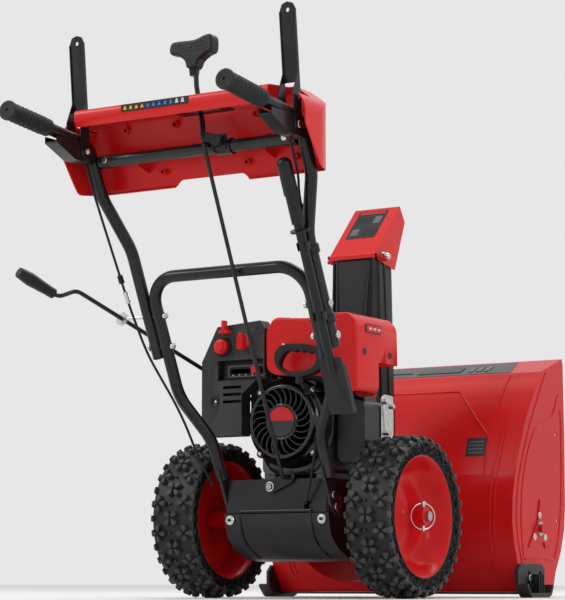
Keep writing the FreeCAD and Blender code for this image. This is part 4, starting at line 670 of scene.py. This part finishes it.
def recoil_housing():
    """Glossy round housing with a grille of curved ribs and a two-tone badge."""
    centre = at(0, RECOIL_Y, CRANK_Z)
    shell = lathed("recoil_shell", [(69, 9), (69, 2), (69.8, 0.6), (72, 0), (75, 0.4), (77, 2),
                                    (78, 6), (79, 13), (84, 16), (90, 20), (93.4, 27), (94.6, 38),
                                    (95, 53), (91, 53), (90, 34), (76, 18), (69, 9)],
                   centre, AHEAD, 96)
    ribs = bmesh.new()
    for i in range(24):
        curved_rib(ribs, 2 * math.pi * i / 24, 36, 70, 3.4, RECOIL_Y + 0.6, RECOIL_Y + 9, 0.28)
    ribs = piece_from("recoil_ribs", ribs, 40)
    hub = lathed("recoil_hub", [(38, 10), (38, 1.6), (37, 0.4), (35.4, 0), (33.6, 0.2), (33, 1.6),
                                (0, 1.6)], centre, AHEAD, 64)
    well = lathed("recoil_well", [(70, 9), (36, 9.2), (0, 9.3)], centre, AHEAD, 64)
    tip = math.asin(2.0 / BADGE_R)
    parts = [shell, ribs, hub, coloured(well, "belt_rubber"),
             badge_half("badge_upper", tip, math.pi - 2 * tip, 0.5, "red_label"),
             badge_half("badge_lower", math.pi - tip, math.pi + 2 * tip, 0.7, "grey_label")]
    collar = [(-96, 320), (-50, 254), (50, 254), (96, 320), (98, 400), (62, 444), (-60, 444),
              (-97, 404)]
    base = plate("recoil_base", rounded_loop(collar, 22), -52, -46.5, edge=1.6)
    hole = lathed("recoil_base_hole", [(86, -20), (86, 20)], at(0, -49, CRANK_Z), AHEAD, 64)
    parts.append(cut(base, [hole]))
    for i in range(4):
        a = math.radians(45 + 90 * i)
        foot = at(90 * math.cos(a), -76, CRANK_Z + 90 * math.sin(a))
        parts.append(lathed("recoil_lug", [(0, -4), (8, -4), (9, 3), (9, 30), (0, 30)],
                            foot, AHEAD, 24))
        bolt = lathed("recoil_bolt", [(0, -7), (3.6, -7), (4.6, -6), (4.8, -3.6), (0, -3.6)],
                      foot, AHEAD, 6)
        parts.append(coloured(bolt, "zinc_steel"))
    filler = [(-99, 430), (-58, 462), (-42, 466), (-18, 453), (60, 447), (60, 425), (-70, 390),
              (-99, 380)]
    parts.append(plate("shroud_shoulder", rounded_loop(filler, 6), -60, -52, edge=1.5))
    mouth = tube_along("cord_mouth", [(60, -92, CRANK_Z + 56), (60, -96, CRANK_Z + 64),
                                      (61, -108, CRANK_Z + 70)], 7, resolution=8)
    parts.append(coloured(mouth, "black_plastic"))
    joined("recoil_housing", parts, "machine", "black_gloss_plastic", "recoil_cover")


def smooth_loop(points, steps=4):
    """A closed outline through the points, rounded by a Catmull-Rom curve."""
    out = []
    count = len(points)
    for i in range(count):
        a, b, c, d = (Vector(points[(i + k) % count]) for k in (-1, 0, 1, 2))
        for k in range(steps):
            t = k / steps
            out.append(0.5 * (2 * b + (c - a) * t + (2 * a - 5 * b + 4 * c - d) * t * t
                              + (3 * b - a - 3 * c + d) * t ** 3))
    return out


HANDLE_AT = (62.0, -128.0, 482.0)
CORD_R = 2.0


def starter_handle():
    """Loop handle with a rounded section and finger waves inside."""
    outer = [(-56, 8), (-50, 24), (-34, 33), (0, 34), (34, 28), (52, 14), (57, -2), (50, -20),
             (32, -30), (0, -34), (-30, -28), (-50, -12)]
    inner = [(-44, -6), (-35, 12), (-22, 20), (-8, 17), (2, 20), (10, 15), (20, 18), (27, 12),
             (37, 14), (44, 3), (40, -9), (26, -18), (0, -22), (-26, -20), (-38, -15)]
    x, y, z = HANDLE_AT
    body = plate("pull_loop", [(x + u, z + v) for u, v in smooth_loop(outer, 6)], y - 9, y + 9,
                 edge=0.1, segments=1)
    opening = [(x + u, z + v) for u, v in smooth_loop(inner, 5)]
    cut(body, [drawn("pull_hole", opening, y - 20, y + 20)])
    bm = bmesh.new()
    bm.from_mesh(body.data)
    bmesh.ops.remove_doubles(bm, verts=bm.verts, dist=2e-5)
    bmesh.ops.dissolve_limit(bm, angle_limit=math.radians(1), verts=bm.verts, edges=bm.edges)
    soften_edges(bm, 3.4, 50, 4)
    bpy.data.objects.remove(body)
    loop = piece_from("pull_loop_round", bm, 60)
    stem = lathed("pull_stem", [(0, -48), (7, -48), (8.6, -46), (9, -40), (8, -33), (11, -29),
                                (0, -27)], at(x, y, z), UP, 32)
    seam = tube_along("pull_seam", [(x - 50, y, z + 16), (x - 30, y, z + 31), (x, y, z + 34.2),
                                    (x + 34, y, z + 28.2)], 1.0)
    joined("pull_handle", [loop, stem, seam], "starter_handle", "black_plastic", "starter_handle")


def starter_cord():
    """Braided cord from the housing to the handle."""
    low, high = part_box("starter_cord")
    inset = Vector((CORD_R, -CORD_R, CORD_R)) * MM
    foot = Vector((low.x, high.y, low.z)) + inset
    top = Vector((high.x, low.y, high.z)) - inset
    steps = 40
    bm = bmesh.new()
    first, second = axes_for(top - foot)[1:]
    rows = []
    for k in range(steps + 1):
        row = []
        for i in range(12):
            a = 2 * math.pi * i / 12
            r = (CORD_R + 0.25 * math.sin(3 * a + k * 1.1)) * MM
            row.append(bm.verts.new(foot + (top - foot) * k / steps
                                    + (first * math.cos(a) + second * math.sin(a)) * r))
        rows.append(row)
    skin(bm, rows)
    obj = coloured(piece_from("pull_cord", bm, 60), "cord")
    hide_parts("starter_cord")
    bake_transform(obj)


def screw_head(name, x, y, z, axis, radius=4.5, material="zinc_steel"):
    """A small pan head screw, to be joined to a piece."""
    head = lathed(name, [(0, 2.6), (radius * 0.55, 2.5), (radius * 0.85, 1.9), (radius, 0.6),
                         (radius, -1), (0, -1)], at(x, y, z), axis, 20)
    return coloured(head, material)


PANEL_Y = -96.0


def panel_details():
    """Label, slot liner, screws and base ring of the control cover."""
    y = PANEL_Y
    softened("control_panel", 1.4)
    liner = plate("recess_liner", rounded_loop(rectangle(-158, -47, 454, 494), 4), y + 12.4,
                  y + 13.8, edge=0.3)
    parts = [cut(liner, [drawn("liner_slot", rectangle(-134, -54, 467, 477), y + 5, y + 20)])]
    border = plate("speed_label", rounded_loop(rectangle(-140, -50, 460, 484), 3), y + 11.8,
                   y + 12.6, edge=0.2)
    middle = rounded_loop(rectangle(-138, -52, 462, 482), 3)
    cut(border, [drawn("label_slot", middle, y + 5, y + 20)])
    parts.append(coloured(border, "grey_ink"))
    for x in (-128, -112, -96, -80, -64):
        mark = plate("speed_mark", rectangle(x - 1, x + 1, 462.6, 465.4), y + 11.6,
                     y + 12.6, edge=0.1)
        parts.append(coloured(mark, "white_ink"))
    parts.append(lathed("choke_base", [(0, -2), (17, -2), (18.4, -1), (19, 1), (0, 1)],
                        at(-90, y, 531), AHEAD, 40))
    parts.append(lathed("primer_ring", [(17, 2), (17, -3.4), (18, -4.4), (19.6, -4.4), (20.6, -3),
                                        (20.8, 2)], at(-146, y, 524), AHEAD, 48))
    for x, z in ((-62, 560), (-60, 498)):
        parts.append(screw_head("panel_screw", x, y, z, BACK, 3.6, "black_plastic"))
    well = lathed("screw_well", [(12, 0.6), (11.4, -0.6), (10.4, -0.9), (9.8, -0.2), (0, 0)],
                  at(-166, y, 410), AHEAD, 32)
    parts.append(coloured(well, "belt_rubber"))
    parts.append(screw_head("well_screw", -163, y, 409, BACK, 3.2))
    side_line = ((-199.2, 371), (-199.2, 430), (-199.2, 490), (-180, 532), (-160.4, 567.4))
    seam = tube_along("panel_seam", [(x, y + 20, z) for x, z in side_line], 0.7)
    parts.append(coloured(seam, "belt_rubber"))
    joined("panel_fittings", parts, "machine", "black_plastic")


def choke_knob():
    """Pointed red knob with a rounded fin."""
    x = -90
    disc = lathed("choke_disc", [(0, -8.5), (10.6, -8.5), (12.4, -7.4), (13, -5), (13.3, -2.4),
                                 (0, -2.4)], at(x, PANEL_Y, 531), AHEAD, 40)
    loop = [(x - 7, 514), (x + 7, 514), (x + 7.4, 536), (x + 4, 546), (x, 550.5), (x - 4, 546),
            (x - 7.4, 536)]
    fin = plate("choke_fin", rounded_loop(loop, 4), -120, -103, edge=2.2, segments=3)
    joined("choke_pointer", [disc, fin], "choke_knob", "red_plastic", "choke_knob")


def primer_button():
    """Red primer bulb with a stepped centre."""
    bulb = lathed("primer_bulb", [(0, -17), (8.4, -16.6), (10, -15.4), (10.4, -13.8), (11.6, -13.4),
                                  (15, -12.8), (16.2, -10.8), (16.6, -6), (16.6, 10), (0, 10)],
                  at(-146, PANEL_Y, 524), AHEAD, 48)
    settle(bulb, "primer_button", "soft_rubber", "primer_button", material="red_plastic")


TOP_OUTLINE = [(-40, 470), (-42, 552), (-22, 580), (60, 573), (100, 580), (158, 580), (176, 560),
               (178, 430), (168, 413), (128, 412), (100, 450), (-16, 456)]


def top_cover():
    """Red engine cover with rounded corners, a step, grooves and screws."""
    body = plate("cover_body", rounded_loop(TOP_OUTLINE, 13, 6), -96, 82, edge=7, segments=4)
    tools = [block("cover_step", 124, 200, -4, 100, 395, 482),
             block("cover_groove", 176.6, 184, 26, 31, 430, 534),
             lathed("neck_hole", [(24, -40), (24, 40)], at(60, 40, 580), UP, 48)]
    for x in (22, 38, 54, 70):
        tools.append(lathed("cover_ridge", [(7, -62), (7, 62)], at(x, -60, 580.5),
                            AHEAD, 24))
    cut(body, tools)
    hollowed(body, lambda f: f.normal.z < -0.6 and f.calc_center_median().z < 0.462, 2.4)
    smooth(body.data, 30)
    parts = [body]
    for x in (4, 116):
        parts.append(screw_head("cover_screw", x, -96, 520, BACK, 3.4))
    for y in (-62, 44):
        cup = lathed("cover_cup", [(7.4, 0.5), (6.6, 0.9), (6, 0.2), (6, -1.6), (0, -1.8)],
                     at(177.4, y, 500), RIGHT, 32)
        parts.append(coloured(cup, "black_plastic"))
    label = plate("cover_label", rounded_loop(rectangle(-56, 6, 540, 558), 2), 176.9, 178.0, "x",
                  edge=0.2)
    parts.append(coloured(label, "dark_label"))
    parts.append(plate("cover_label_face", rounded_loop(rectangle(-53, 3, 542.5, 555.5), 1.5),
                       177.6, 178.4, "x", edge=0.2))
    for y in (-44, -26, -8):
        mark = plate("cover_mark", rectangle(y, y + 10, 547, 551), 178.0, 178.7, "x", edge=0.1)
        parts.append(coloured(mark, "white_ink"))
    joined("engine_cover", parts, "machine", "red_plastic", "engine_top_cover")


def fuel_cap():
    """Fuel cap with finger lobes round its edge."""
    def fluted(radius, along, turn):
        depth = 1.3 * (0.5 + 0.5 * math.cos(16 * turn)) if radius > 20 else 0
        return radius - depth, along

    cap = lathed("fuel_cap_fluted", [(0, 11), (17, 11), (21, 10), (23, 8), (23, 1), (21, 0), (0, 0)],
                 at(60, 40, 581.4), UP, 128, radius_of=fluted)
    settle(cap, "fuel_cap", "black_plastic", "fuel_cap")


def linkage():
    """Governor linkage and its bracket beside the engine."""
    outline = [(25, 322), (25, 414), (40, 420), (77, 418), (77, 336), (60, 322)]
    parts = [plate("governor_sheet", rounded_loop(outline, 5), 165, 167, "x", edge=0.5)]
    for y, z in ((36, 404), (64, 396), (44, 340)):
        parts.append(lathed("governor_bolt", [(0, 9), (5, 8.5), (6.5, 6), (6.5, 0), (0, 0)],
                            at(167, y, z), RIGHT, 6))
    rod = [(172, 36, 404), (175, 44, 382), (174, 50, 362), (172, 44, 340)]
    parts.append(tube_along("governor_rod", rod, 1.6))
    joined("governor_linkage", parts, "machine", "zinc_steel")


# ---- dash and controls --------------------------------------------------------------------
def dash_panel():
    """Thin red dash with rounded corners, lever slots, ribs inside and a speed label."""
    profile = [(-516, 938), (-516, 962), (-395, 975), (-384, 968), (-355, 817), (-418, 812),
               (-442, 841), (-486, 899)]
    body = drawn("dash_shell", rounded_loop(profile, 9, 4), -288, 288, "x")
    plan = [(-288, -700), (288, -700), (288, -400), (246, -340), (-246, -340), (-288, -400)]
    front = [(-288, 700), (288, 700), (288, 934), (228, 980), (-228, 980), (-288, 934)]
    for name, loop, low, high, plane in (
            ("dash_plan", rounded_loop(plan, 30, 6), 700, 1000, "z"),
            ("dash_front", rounded_loop(front, 26, 6), -700, -300, "y")):
        boolean(body, drawn(name, loop, low, high, plane), "INTERSECT")
    hollowed(body, lambda f: f.normal.z < -0.35 and f.normal.y < 0.3, 2.5, merge=1e-5, even=True)
    notch = rounded_loop([(-95, 700), (-95, 811), (-75, 832), (75, 832), (95, 811), (95, 700)], 8)
    tools = [drawn("dash_notch", notch, -420, -340)]
    for x0, x1, y0, y1, z0, z1 in (
            (-26, 56, -452, -398, 940, 990),
            (226, 272, -700, -436, 780, 1000), (-272, -226, -700, -436, 780, 1000),
            (271, 400, -700, -478, 780, 1000), (-400, -271, -700, -478, 780, 1000)):
        tools.append(block("dash_cut", x0, x1, y0, y1, z0, z1))
    cut(body, tools)
    smooth(body.data, 30)
    parts = [body]
    for x in (-150, 150):
        parts.append(plate("dash_rib", [(-382, 900), (-402, 890), (-402, 860), (-364, 852)],
                           x - 1.5, x + 1.5, "x"))
    for x, z in ((-190, 940), (-70, 940), (120, 940), (-110, 850), (90, 850), (200, 850)):
        y = -384 + (968 - z) * 0.19 - 4
        parts.append(lathed("dash_boss", [(7, 3), (7, -9), (4, -9), (4, 0), (0, 0)],
                            at(x, y, z), AHEAD, 6))
    joined("dash", parts, "machine", "red_plastic", "dash_panel")
    speed_label()


def speed_label():
    """Dark strip of generic speed marks on the rear lip of the dash."""
    y = -516.0
    strip = plate("speed_strip", rounded_loop(rectangle(-111, 48, 945, 960), 2), y - 0.9, y + 0.4,
                  edge=0.2)
    parts = [coloured(strip, "dark_label")]
    for i, ink in enumerate(["yellow_ink"] * 4 + ["blue_ink"] * 5 + ["white_ink"] * 2):
        x = -101 + 13.6 * i
        top = 949 + (3.2 + 1.2 * abs(i - 3) / 3) + 3
        loop = rounded_loop([(x - 4, 949), (x + 4, 949), (x + 1.6, top), (x - 1.6, top)], 1, 3)
        parts.append(coloured(plate("speed_sign", loop, y - 1.4, y, edge=0.1), ink))
    joined("speed_label_strip", parts, "machine", "black_plastic")


GRIP_X = 249.0


def grip(side):
    """Rubber grip: ribs round the sleeve, a collar in front and a disc with a hole behind."""
    end = at(side * GRIP_X, -695, 931.6)
    start = at(side * GRIP_X, -437, 907)
    along = (end - start).normalized()
    length = 125.0
    profile = [(12.6, -length), (16.6, -length), (17.4, -length + 2), (17.4, -length + 12),
               (16.4, -length + 14)]
    for i in range(7):
        base = -length + 16 + 13.6 * i
        profile += [(16.0, base), (18.0, base + 3.2), (18.4, base + 6.8), (17.6, base + 10.4)]
    profile += [(16.4, -12), (16.4, -8), (18.6, -6.6), (19.6, -3), (19.4, 2), (18.2, 3.8), (12, 4.0),
                (11.4, 3.4), (3.2, 3.4), (2.8, 1), (0, 1)]
    handle = lathed("grip_right" if side > 0 else "grip_left", profile, end, along, 56)
    settle(handle, "machine", "soft_rubber", "handle_grips")


def shift_knob():
    """T shaped knob: a rounded hand bar with ridges, flaring from a tapered neck."""
    y = -428.0
    loop = [(-49, 1070), (-46, 1090), (-30, 1093), (8, 1092), (30, 1098), (46, 1099), (52, 1088),
            (50, 1066), (36, 1060), (20, 1050), (12, 1036), (-8, 1036), (-14, 1052), (-30, 1064)]
    parts = [plate("knob_bar", smooth_loop(loop, 3), y - 14, y + 14, edge=6.5, segments=4),
             lathed("knob_neck", [(8.2, 1022), (9.4, 1023), (11.8, 1048), (13, 1062), (0, 1066)],
                    at(2, y, 0), UP, 32)]
    for i in range(3):
        ridge = [(-44, y - 13.4 + i, 1072 + 6 * i), (-10, y - 14.4, 1073 + 5 * i),
                 (20, y - 14.2, 1070 + 8 * i), (38, y - 13.6, 1072 + 9 * i)]
        parts.append(tube_along("knob_ridge", ridge, 1.0))
    joined("speed_knob", parts, "shift_lever", "black_plastic", "shift_knob")


# ---- housing and chute --------------------------------------------------------------------
def chute_ribs():
    """Pressed ribs that fan down the chute's sides and rear corners, and its rear hem."""
    parts = []
    for side in (1, -1):
        for top_x, top_y, low_x, low_y in ((40, 203, 26, 176), (50, 206, 46, 188),
                                           (52.5, 222, 64, 214), (52.5, 248, 69, 244)):
            middle = (side * (low_x + top_x) / 2, (low_y + top_y) / 2 - 1, 560)
            parts.append(tube_along("chute_rib", [(side * low_x, low_y, 385), middle,
                                                  (side * top_x, top_y, 732)], 3.4))
    parts.append(tube_along("chute_hem", [(-44, 204, 739), (0, 203.5, 739), (44, 204, 739)], 1.6))
    joined("chute_ribs", parts, "chute", "black_plastic")


def slanted_plate(name, corners, lift, ink, thick=0.8):
    """A thin plate through four corner points, raised off the face behind it."""
    bm = bmesh.new()
    places = [at(*c) for c in corners]
    normal = (places[1] - places[0]).cross(places[2] - places[0]).normalized()
    low = [bm.verts.new(p + normal * (lift - thick) * MM) for p in places]
    high = [bm.verts.new(p + normal * lift * MM) for p in places]
    bm.faces.new(low[::-1])
    bm.faces.new(high)
    skin(bm, [low, high])
    return coloured(piece_from(name, bm), ink)


def deflector_details():
    """Instruction plate on the deflector's top and its two wing knobs."""
    def on_top(x, along):
        """A point on the sloping top: along runs from its rear edge to its brow."""
        y0, z0, y1, z1 = 203.0, 752.0, 314.0, 867.0
        t = along / math.hypot(y1 - y0, z1 - z0)
        return (x, y0 + (y1 - y0) * t, z0 + (z1 - z0) * t)

    def panel(name, x0, x1, a0, a1, ink, lift):
        """A thin plate on the sloping top."""
        corners = [on_top(*corner) for corner in rectangle(x0, x1, a0, a1)]
        return slanted_plate(name, corners, lift, ink)

    parts = [panel("deflector_plate", -41, 33, 52, 150, "dark_label", 0.6),
             panel("deflector_title", -36, 28, 139, 146, "red_label", 1.0),
             panel("deflector_sign_a", 8, 26, 104, 130, "grey_ink", 1.0),
             panel("deflector_sign_b", -34, -16, 62, 86, "grey_ink", 1.0)]
    for i in range(5):
        for x0, x1, start in ((-34, 0, 108), (-8, 28, 64)):
            parts.append(panel("deflector_row", x0, x1, start + 5 * i,
                               start + 2 + 5 * i, "grey_label", 1.0))
    wing_line = [(212, 746), (222, 738), (240, 738), (250, 746), (248, 752), (238, 746), (224, 746),
                 (214, 752)]
    for side, material in ((1, "zinc_steel"), (-1, "black_plastic")):
        boss = lathed("knob_boss", [(0, 20), (6, 19), (8.5, 15), (9.4, 8), (9.6, 0), (0, 0)],
                      at(side * 57, 231, 742), (side, 0, 0), 32)
        wing = plate("knob_wing", rounded_loop(wing_line, 3), *sorted((side * 66, side * 72)), "x",
                     edge=1.6)
        parts += [coloured(boss, material), coloured(wing, material)]
    joined("deflector_fittings", parts, "deflector", "black_plastic")


SHEET_LINE = [(613, 536), (509, 500), (457, 443), (417, 387), (387, 327), (361, 268), (346, 214),
              (343, 160), (351, 115), (370, 65), (394, 34), (406, 9)]


def on_sheet(x, z):
    """A point on the bent back sheet of the housing."""
    for (y0, z0), (y1, z1) in zip(SHEET_LINE, SHEET_LINE[1:]):
        if z1 <= z <= z0:
            return (x, y0 + (y1 - y0) * (z - z0) / (z1 - z0), z)
    raise ValueError(z)


def sheet_bead(name, ends, radius=2.0):
    """A pressed bead that follows the back sheet between points (x, z)."""
    points = []
    for (x0, z0), (x1, z1) in zip(ends, ends[1:]):
        steps = max(1, round(math.hypot(x1 - x0, z1 - z0) / 14))
        for k in range(steps):
            points.append(on_sheet(x0 + (x1 - x0) * k / steps, z0 + (z1 - z0) * k / steps))
    points.append(on_sheet(*ends[-1]))
    return tube_along(name, points, radius, order=3, resolution=3)


def side_plate_details(side):
    """Beads, the step over the skid shoe and the bearing bracket of one side plate."""
    x = side * 310.0
    lines = {
        "plate_bead": [(524, 498), (474, 430), (434, 372), (404, 318), (378, 262), (365, 212),
                       (363, 162), (370, 118), (390, 70)],
        "plate_panel": [(586, 452), (566, 410), (540, 390), (500, 386), (462, 372), (432, 330),
                        (404, 276), (388, 214), (384, 150), (398, 84)],
        "plate_front": [(600, 420), (603, 300), (597, 200), (580, 120), (556, 86)]}
    parts = [tube_along(name, [(x, y, z) for y, z in line], 1.8) for name, line in lines.items()]
    bracket = rounded_loop([(482, 216), (496, 166), (514, 142), (544, 108), (504, 108), (500, 120),
                            (464, 120), (460, 108), (420, 108), (448, 142), (468, 166)], 5)
    parts.append(plate("bearing_bracket", bracket, *sorted((side * 309.0, side * 313.0)), "x",
                       edge=1.2))
    step = [(404, 82), (430, 86), (520, 86), (548, 82)]
    parts.append(tube_along("shoe_step", [(x, y, z) for y, z in step], 2.4))
    return parts


def housing_beads():
    """Beads pressed in the back sheet and the side plates, and the bearing brackets."""
    parts = []
    for side in (1, -1):
        parts.append(sheet_bead("hex_bead", [(0, 461), (side * 124, 460), (side * 230, 350),
                                             (side * 235, 262)]))
        parts.append(sheet_bead("top_bead", [(side * 234, 494), (side * 231, 402)]))
        for x in (256, 267):
            parts.append(sheet_bead("edge_bead", [(side * x, 404), (side * x, 190),
                                                  (side * (x - 3), 52)], 1.8))
        parts += side_plate_details(side)
    joined("housing_beads", parts, "machine", "red_paint")


def housing_labels():
    """Dark band along the top of the housing and a small plain data plate."""
    band = [(-236, 604, 532.9), (206, 604, 532.9), (228, 514, 501.7), (-236, 514, 501.7)]
    parts = [slanted_plate("top_band", band, -0.5, "dark_label", -0.9)]
    for i, (x0, x1) in enumerate(((-200, -40), (-20, 90), (110, 122), (130, 142), (150, 162))):
        y0, y1 = (548, 556) if i == 0 else (536, 576)
        ink = "grey_label" if i < 2 else "grey_ink"
        z0, z1 = (500.4 + (y - 509) * 36 / 104 for y in (y0, y1))
        corners = [(x0, y0, z0), (x1, y0, z0), (x1 - 4, y1, z1), (x0 - 4, y1, z1)]
        parts.append(slanted_plate("band_mark", corners, 1.3, ink))
    corners = [on_sheet(x, z) for x, z in ((181, 308), (228, 308), (226, 348), (179, 348))]
    parts.append(slanted_plate("data_plate", corners, 0.8, "dark_label", 1.2))
    for z in (314, 322, 330, 338):
        row = [on_sheet(*corner) for corner in rectangle(185, 222, z, z + 2)]
        parts.append(slanted_plate("data_row", row, 1.1, "grey_ink", 1.1))
    joined("housing_labels", parts, "machine", "black_plastic")


def chassis_details():
    """Pressed lines on the bottom cover and the washers and bolts on the rear plate."""
    cover = [(-121, 176), (-121, 149.6), (-110, 123.6), (-87, 101.6), (-43, 80.6)]
    parts = [tube_along("cover_line", [(x, y, z) for y, z in cover], 1.3, order=3)
             for x in (-86, 84)]
    parts.append(tube_along("cover_hem", [(-86, -121, 178), (84, -121, 178)], 2.0))
    for x in (-110, 110):
        washer = lathed("cover_washer", [(0, -2), (9.4, -2), (10, -1.2), (10, 1.4), (0, 1.4)],
                        at(x, -121.5, 160), AHEAD, 32)
        socket = lathed("cover_socket", [(0, -0.6), (3.2, -0.6), (3.4, 1), (0, 1)],
                        at(x, -127.6, 160), AHEAD, 6)
        parts += [coloured(washer, "zinc_steel"), coloured(socket, "belt_rubber")]
    joined("chassis_details", parts, "machine", "black_paint")
    bolt = lathed("arm_pivot_bolt", [(0, -7), (5, -6.6), (7, -5), (7.4, -2.4), (10, -2), (10, 0),
                                     (0, 0)], at(-11, -125.2, 227), AHEAD, 32)
    settle(bolt, "shift_arm", "zinc_steel")


CABLE_ROUTES = {
    "drive_cable": [(-243, -452, 862), (-242, -415, 790), (-238, -368, 700), (-235, -330, 627),
                    (-231, -306, 578), (-222, -265, 500), (-203, -241, 449), (-180, -224, 400),
                    (-160, -212, 352), (-150, -190, 300), (-146, -162, 262), (-140, -142, 232)],
    "auger_cable": [(239, -454, 862), (231, -411, 815), (212, -378, 772), (202, -340, 735),
                    (199, -302, 690), (198, -268, 596), (194, -230, 520), (178, -188, 430),
                    (150, -160, 380), (118, -150, 330), (104, -142, 280), (90, -136, 225),
                    (74, -124, 190)]}


def cables():
    """Sleeved clutch cables with rubber boots and adjusters."""
    boot = [(2.6, -30)]
    for i in range(5):
        boot += [(5.2, -29 + 3.6 * i), (6.4, -27.4 + 3.6 * i)]
    boot.append((2.6, -11))
    parts = []
    for name, route in CABLE_ROUTES.items():
        parts.append(tube_along(name, route, 2.6, order=3, resolution=8))
        top, middle, low = (at(*p) for p in route[2:5])
        sleeve = lathed(name + "_sleeve", [(2.6, 6), (4.8, 7), (5, 12), (4.2, 13), (4.2, 24),
                                           (5, 25), (5, 31), (2.6, 32)],
                        middle, (low - middle).normalized(), 24)
        parts.append(coloured(sleeve, "zinc_steel"))
        parts.append(coloured(lathed(name + "_boot", boot, middle, (middle - top).normalized(), 24),
                              "soft_rubber"))
    joined("control_cables", parts, "machine", "belt_rubber", "clutch_cables")


# ---- build --------------------------------------------------------------------------------
for side in (1, -1):
    tyre(side)
    rim(side)
    wheel_pin(side)
    grip(side)
recoil_housing()
starter_handle()
starter_cord()
panel_details()
choke_knob()
primer_button()
top_cover()
fuel_cap()
linkage()
dash_panel()
shift_knob()
chute_ribs()
deflector_details()
housing_beads()
housing_labels()
chassis_details()
cables()

SOFT_EDGES = {"side_plates": 1.0, "auger_housing": 0.9, "impeller_housing": 0.9, "scraper_bar": 1.0,
              "skid_shoes": 1.4, "auger_gearbox": 1.6, "auger": 0.8, "impeller": 0.8, "frame_box": 0.9,
              "rear_plate": 0.9, "bottom_cover": 0.9, "drive_axle": 0.5, "hex_shaft": 0.4,
              "friction_wheel": 0.8, "friction_disc": 0.8, "engine_block": 1.2, "crankshaft": 0.8,
              "ignition_key": 1.2, "throttle_slider": 1.5, "muffler": 1.2, "belt_cover": 1.3,
              "lever_brackets": 0.8, "auger_lever": 1.0, "drive_lever": 1.0, "gate_plate": 0.8,
              "shift_bracket": 1.0, "shift_lever": 0.8, "shift_arm": 0.8, "deflector": 0.9,
              "crank_supports": 0.8, "clean_out_tool": 1.2, "tool_clips": 1.2, "handle_bolts": 1.6,
              "flange_bolts": 1.5, "crank_grip": 1.5, "chute": 0.8}
for node, width in SOFT_EDGES.items():
    softened(node, width)

for name, node in frame["nodes"].items():
    if not node.hide_render:
        coloured(node, slot_of(name))
        smooth(node.data, 35)


# ---- floor, light and camera --------------------------------------------------------------
FLOOR_HALF = 12.0


def floor():
    """Large pale floor."""
    bm = bmesh.new()
    bm.faces.new([bm.verts.new((x, y, 0)) for x, y in rectangle(-FLOOR_HALF, FLOOR_HALF,
                                                                -FLOOR_HALF, FLOOR_HALF)])
    obj = piece_from("studio_floor", bm)
    obj.data.materials.append(surface("floor", (0.80, 0.80, 0.80), 0.6, shade=0.01, patch=1.5,
                                      bump=0.0))


def area_light(name, place, target, size, power):
    """A soft square light that points at a target."""
    lamp = bpy.data.lights.new(name, "AREA")
    lamp.size = size
    lamp.energy = power
    obj = placed(name, lamp)
    obj.location = place
    obj.rotation_euler = (Vector(target) - Vector(place)).to_track_quat("-Z", "Y").to_euler()


def studio():
    """Pale surroundings and three soft lights."""
    world = bpy.data.worlds.new("studio")
    bpy.context.scene.world = world
    world.use_nodes = True
    background = world.node_tree.nodes["Background"]
    background.inputs["Color"].default_value = (1, 1, 1, 1)
    background.inputs["Strength"].default_value = 0.8
    target = (0, 0, 0.5)
    area_light("key", (-2.6, -2.6, 3.2), target, 1.6, 60)
    area_light("side", (3.4, -1.0, 1.8), target, 1.0, 16)
    area_light("top", (0.4, 1.6, 3.6), target, 1.8, 40)
    bpy.context.scene.view_settings.view_transform = "Standard"


CAMERA_AT = (2321.581, -3859.471, 35.602)
CAMERA_AZIMUTH = math.radians(31.655)
CAMERA_TILT = math.radians(7.452)
CAMERA_LENS = 128.9
SENSOR = 36.0


def camera():
    """The camera, low behind the right handle."""
    data = bpy.data.cameras.new("camera")
    data.lens = CAMERA_LENS
    data.sensor_width = SENSOR
    data.clip_end = 50
    obj = placed("camera", data)
    obj.location = at(*CAMERA_AT)
    look = Vector((-math.sin(CAMERA_AZIMUTH) * math.cos(CAMERA_TILT),
                   math.cos(CAMERA_AZIMUTH) * math.cos(CAMERA_TILT), math.sin(CAMERA_TILT)))
    obj.rotation_euler = look.to_track_quat("-Z", "Y").to_euler()
    bpy.context.scene.camera = obj


floor()
studio()
camera()
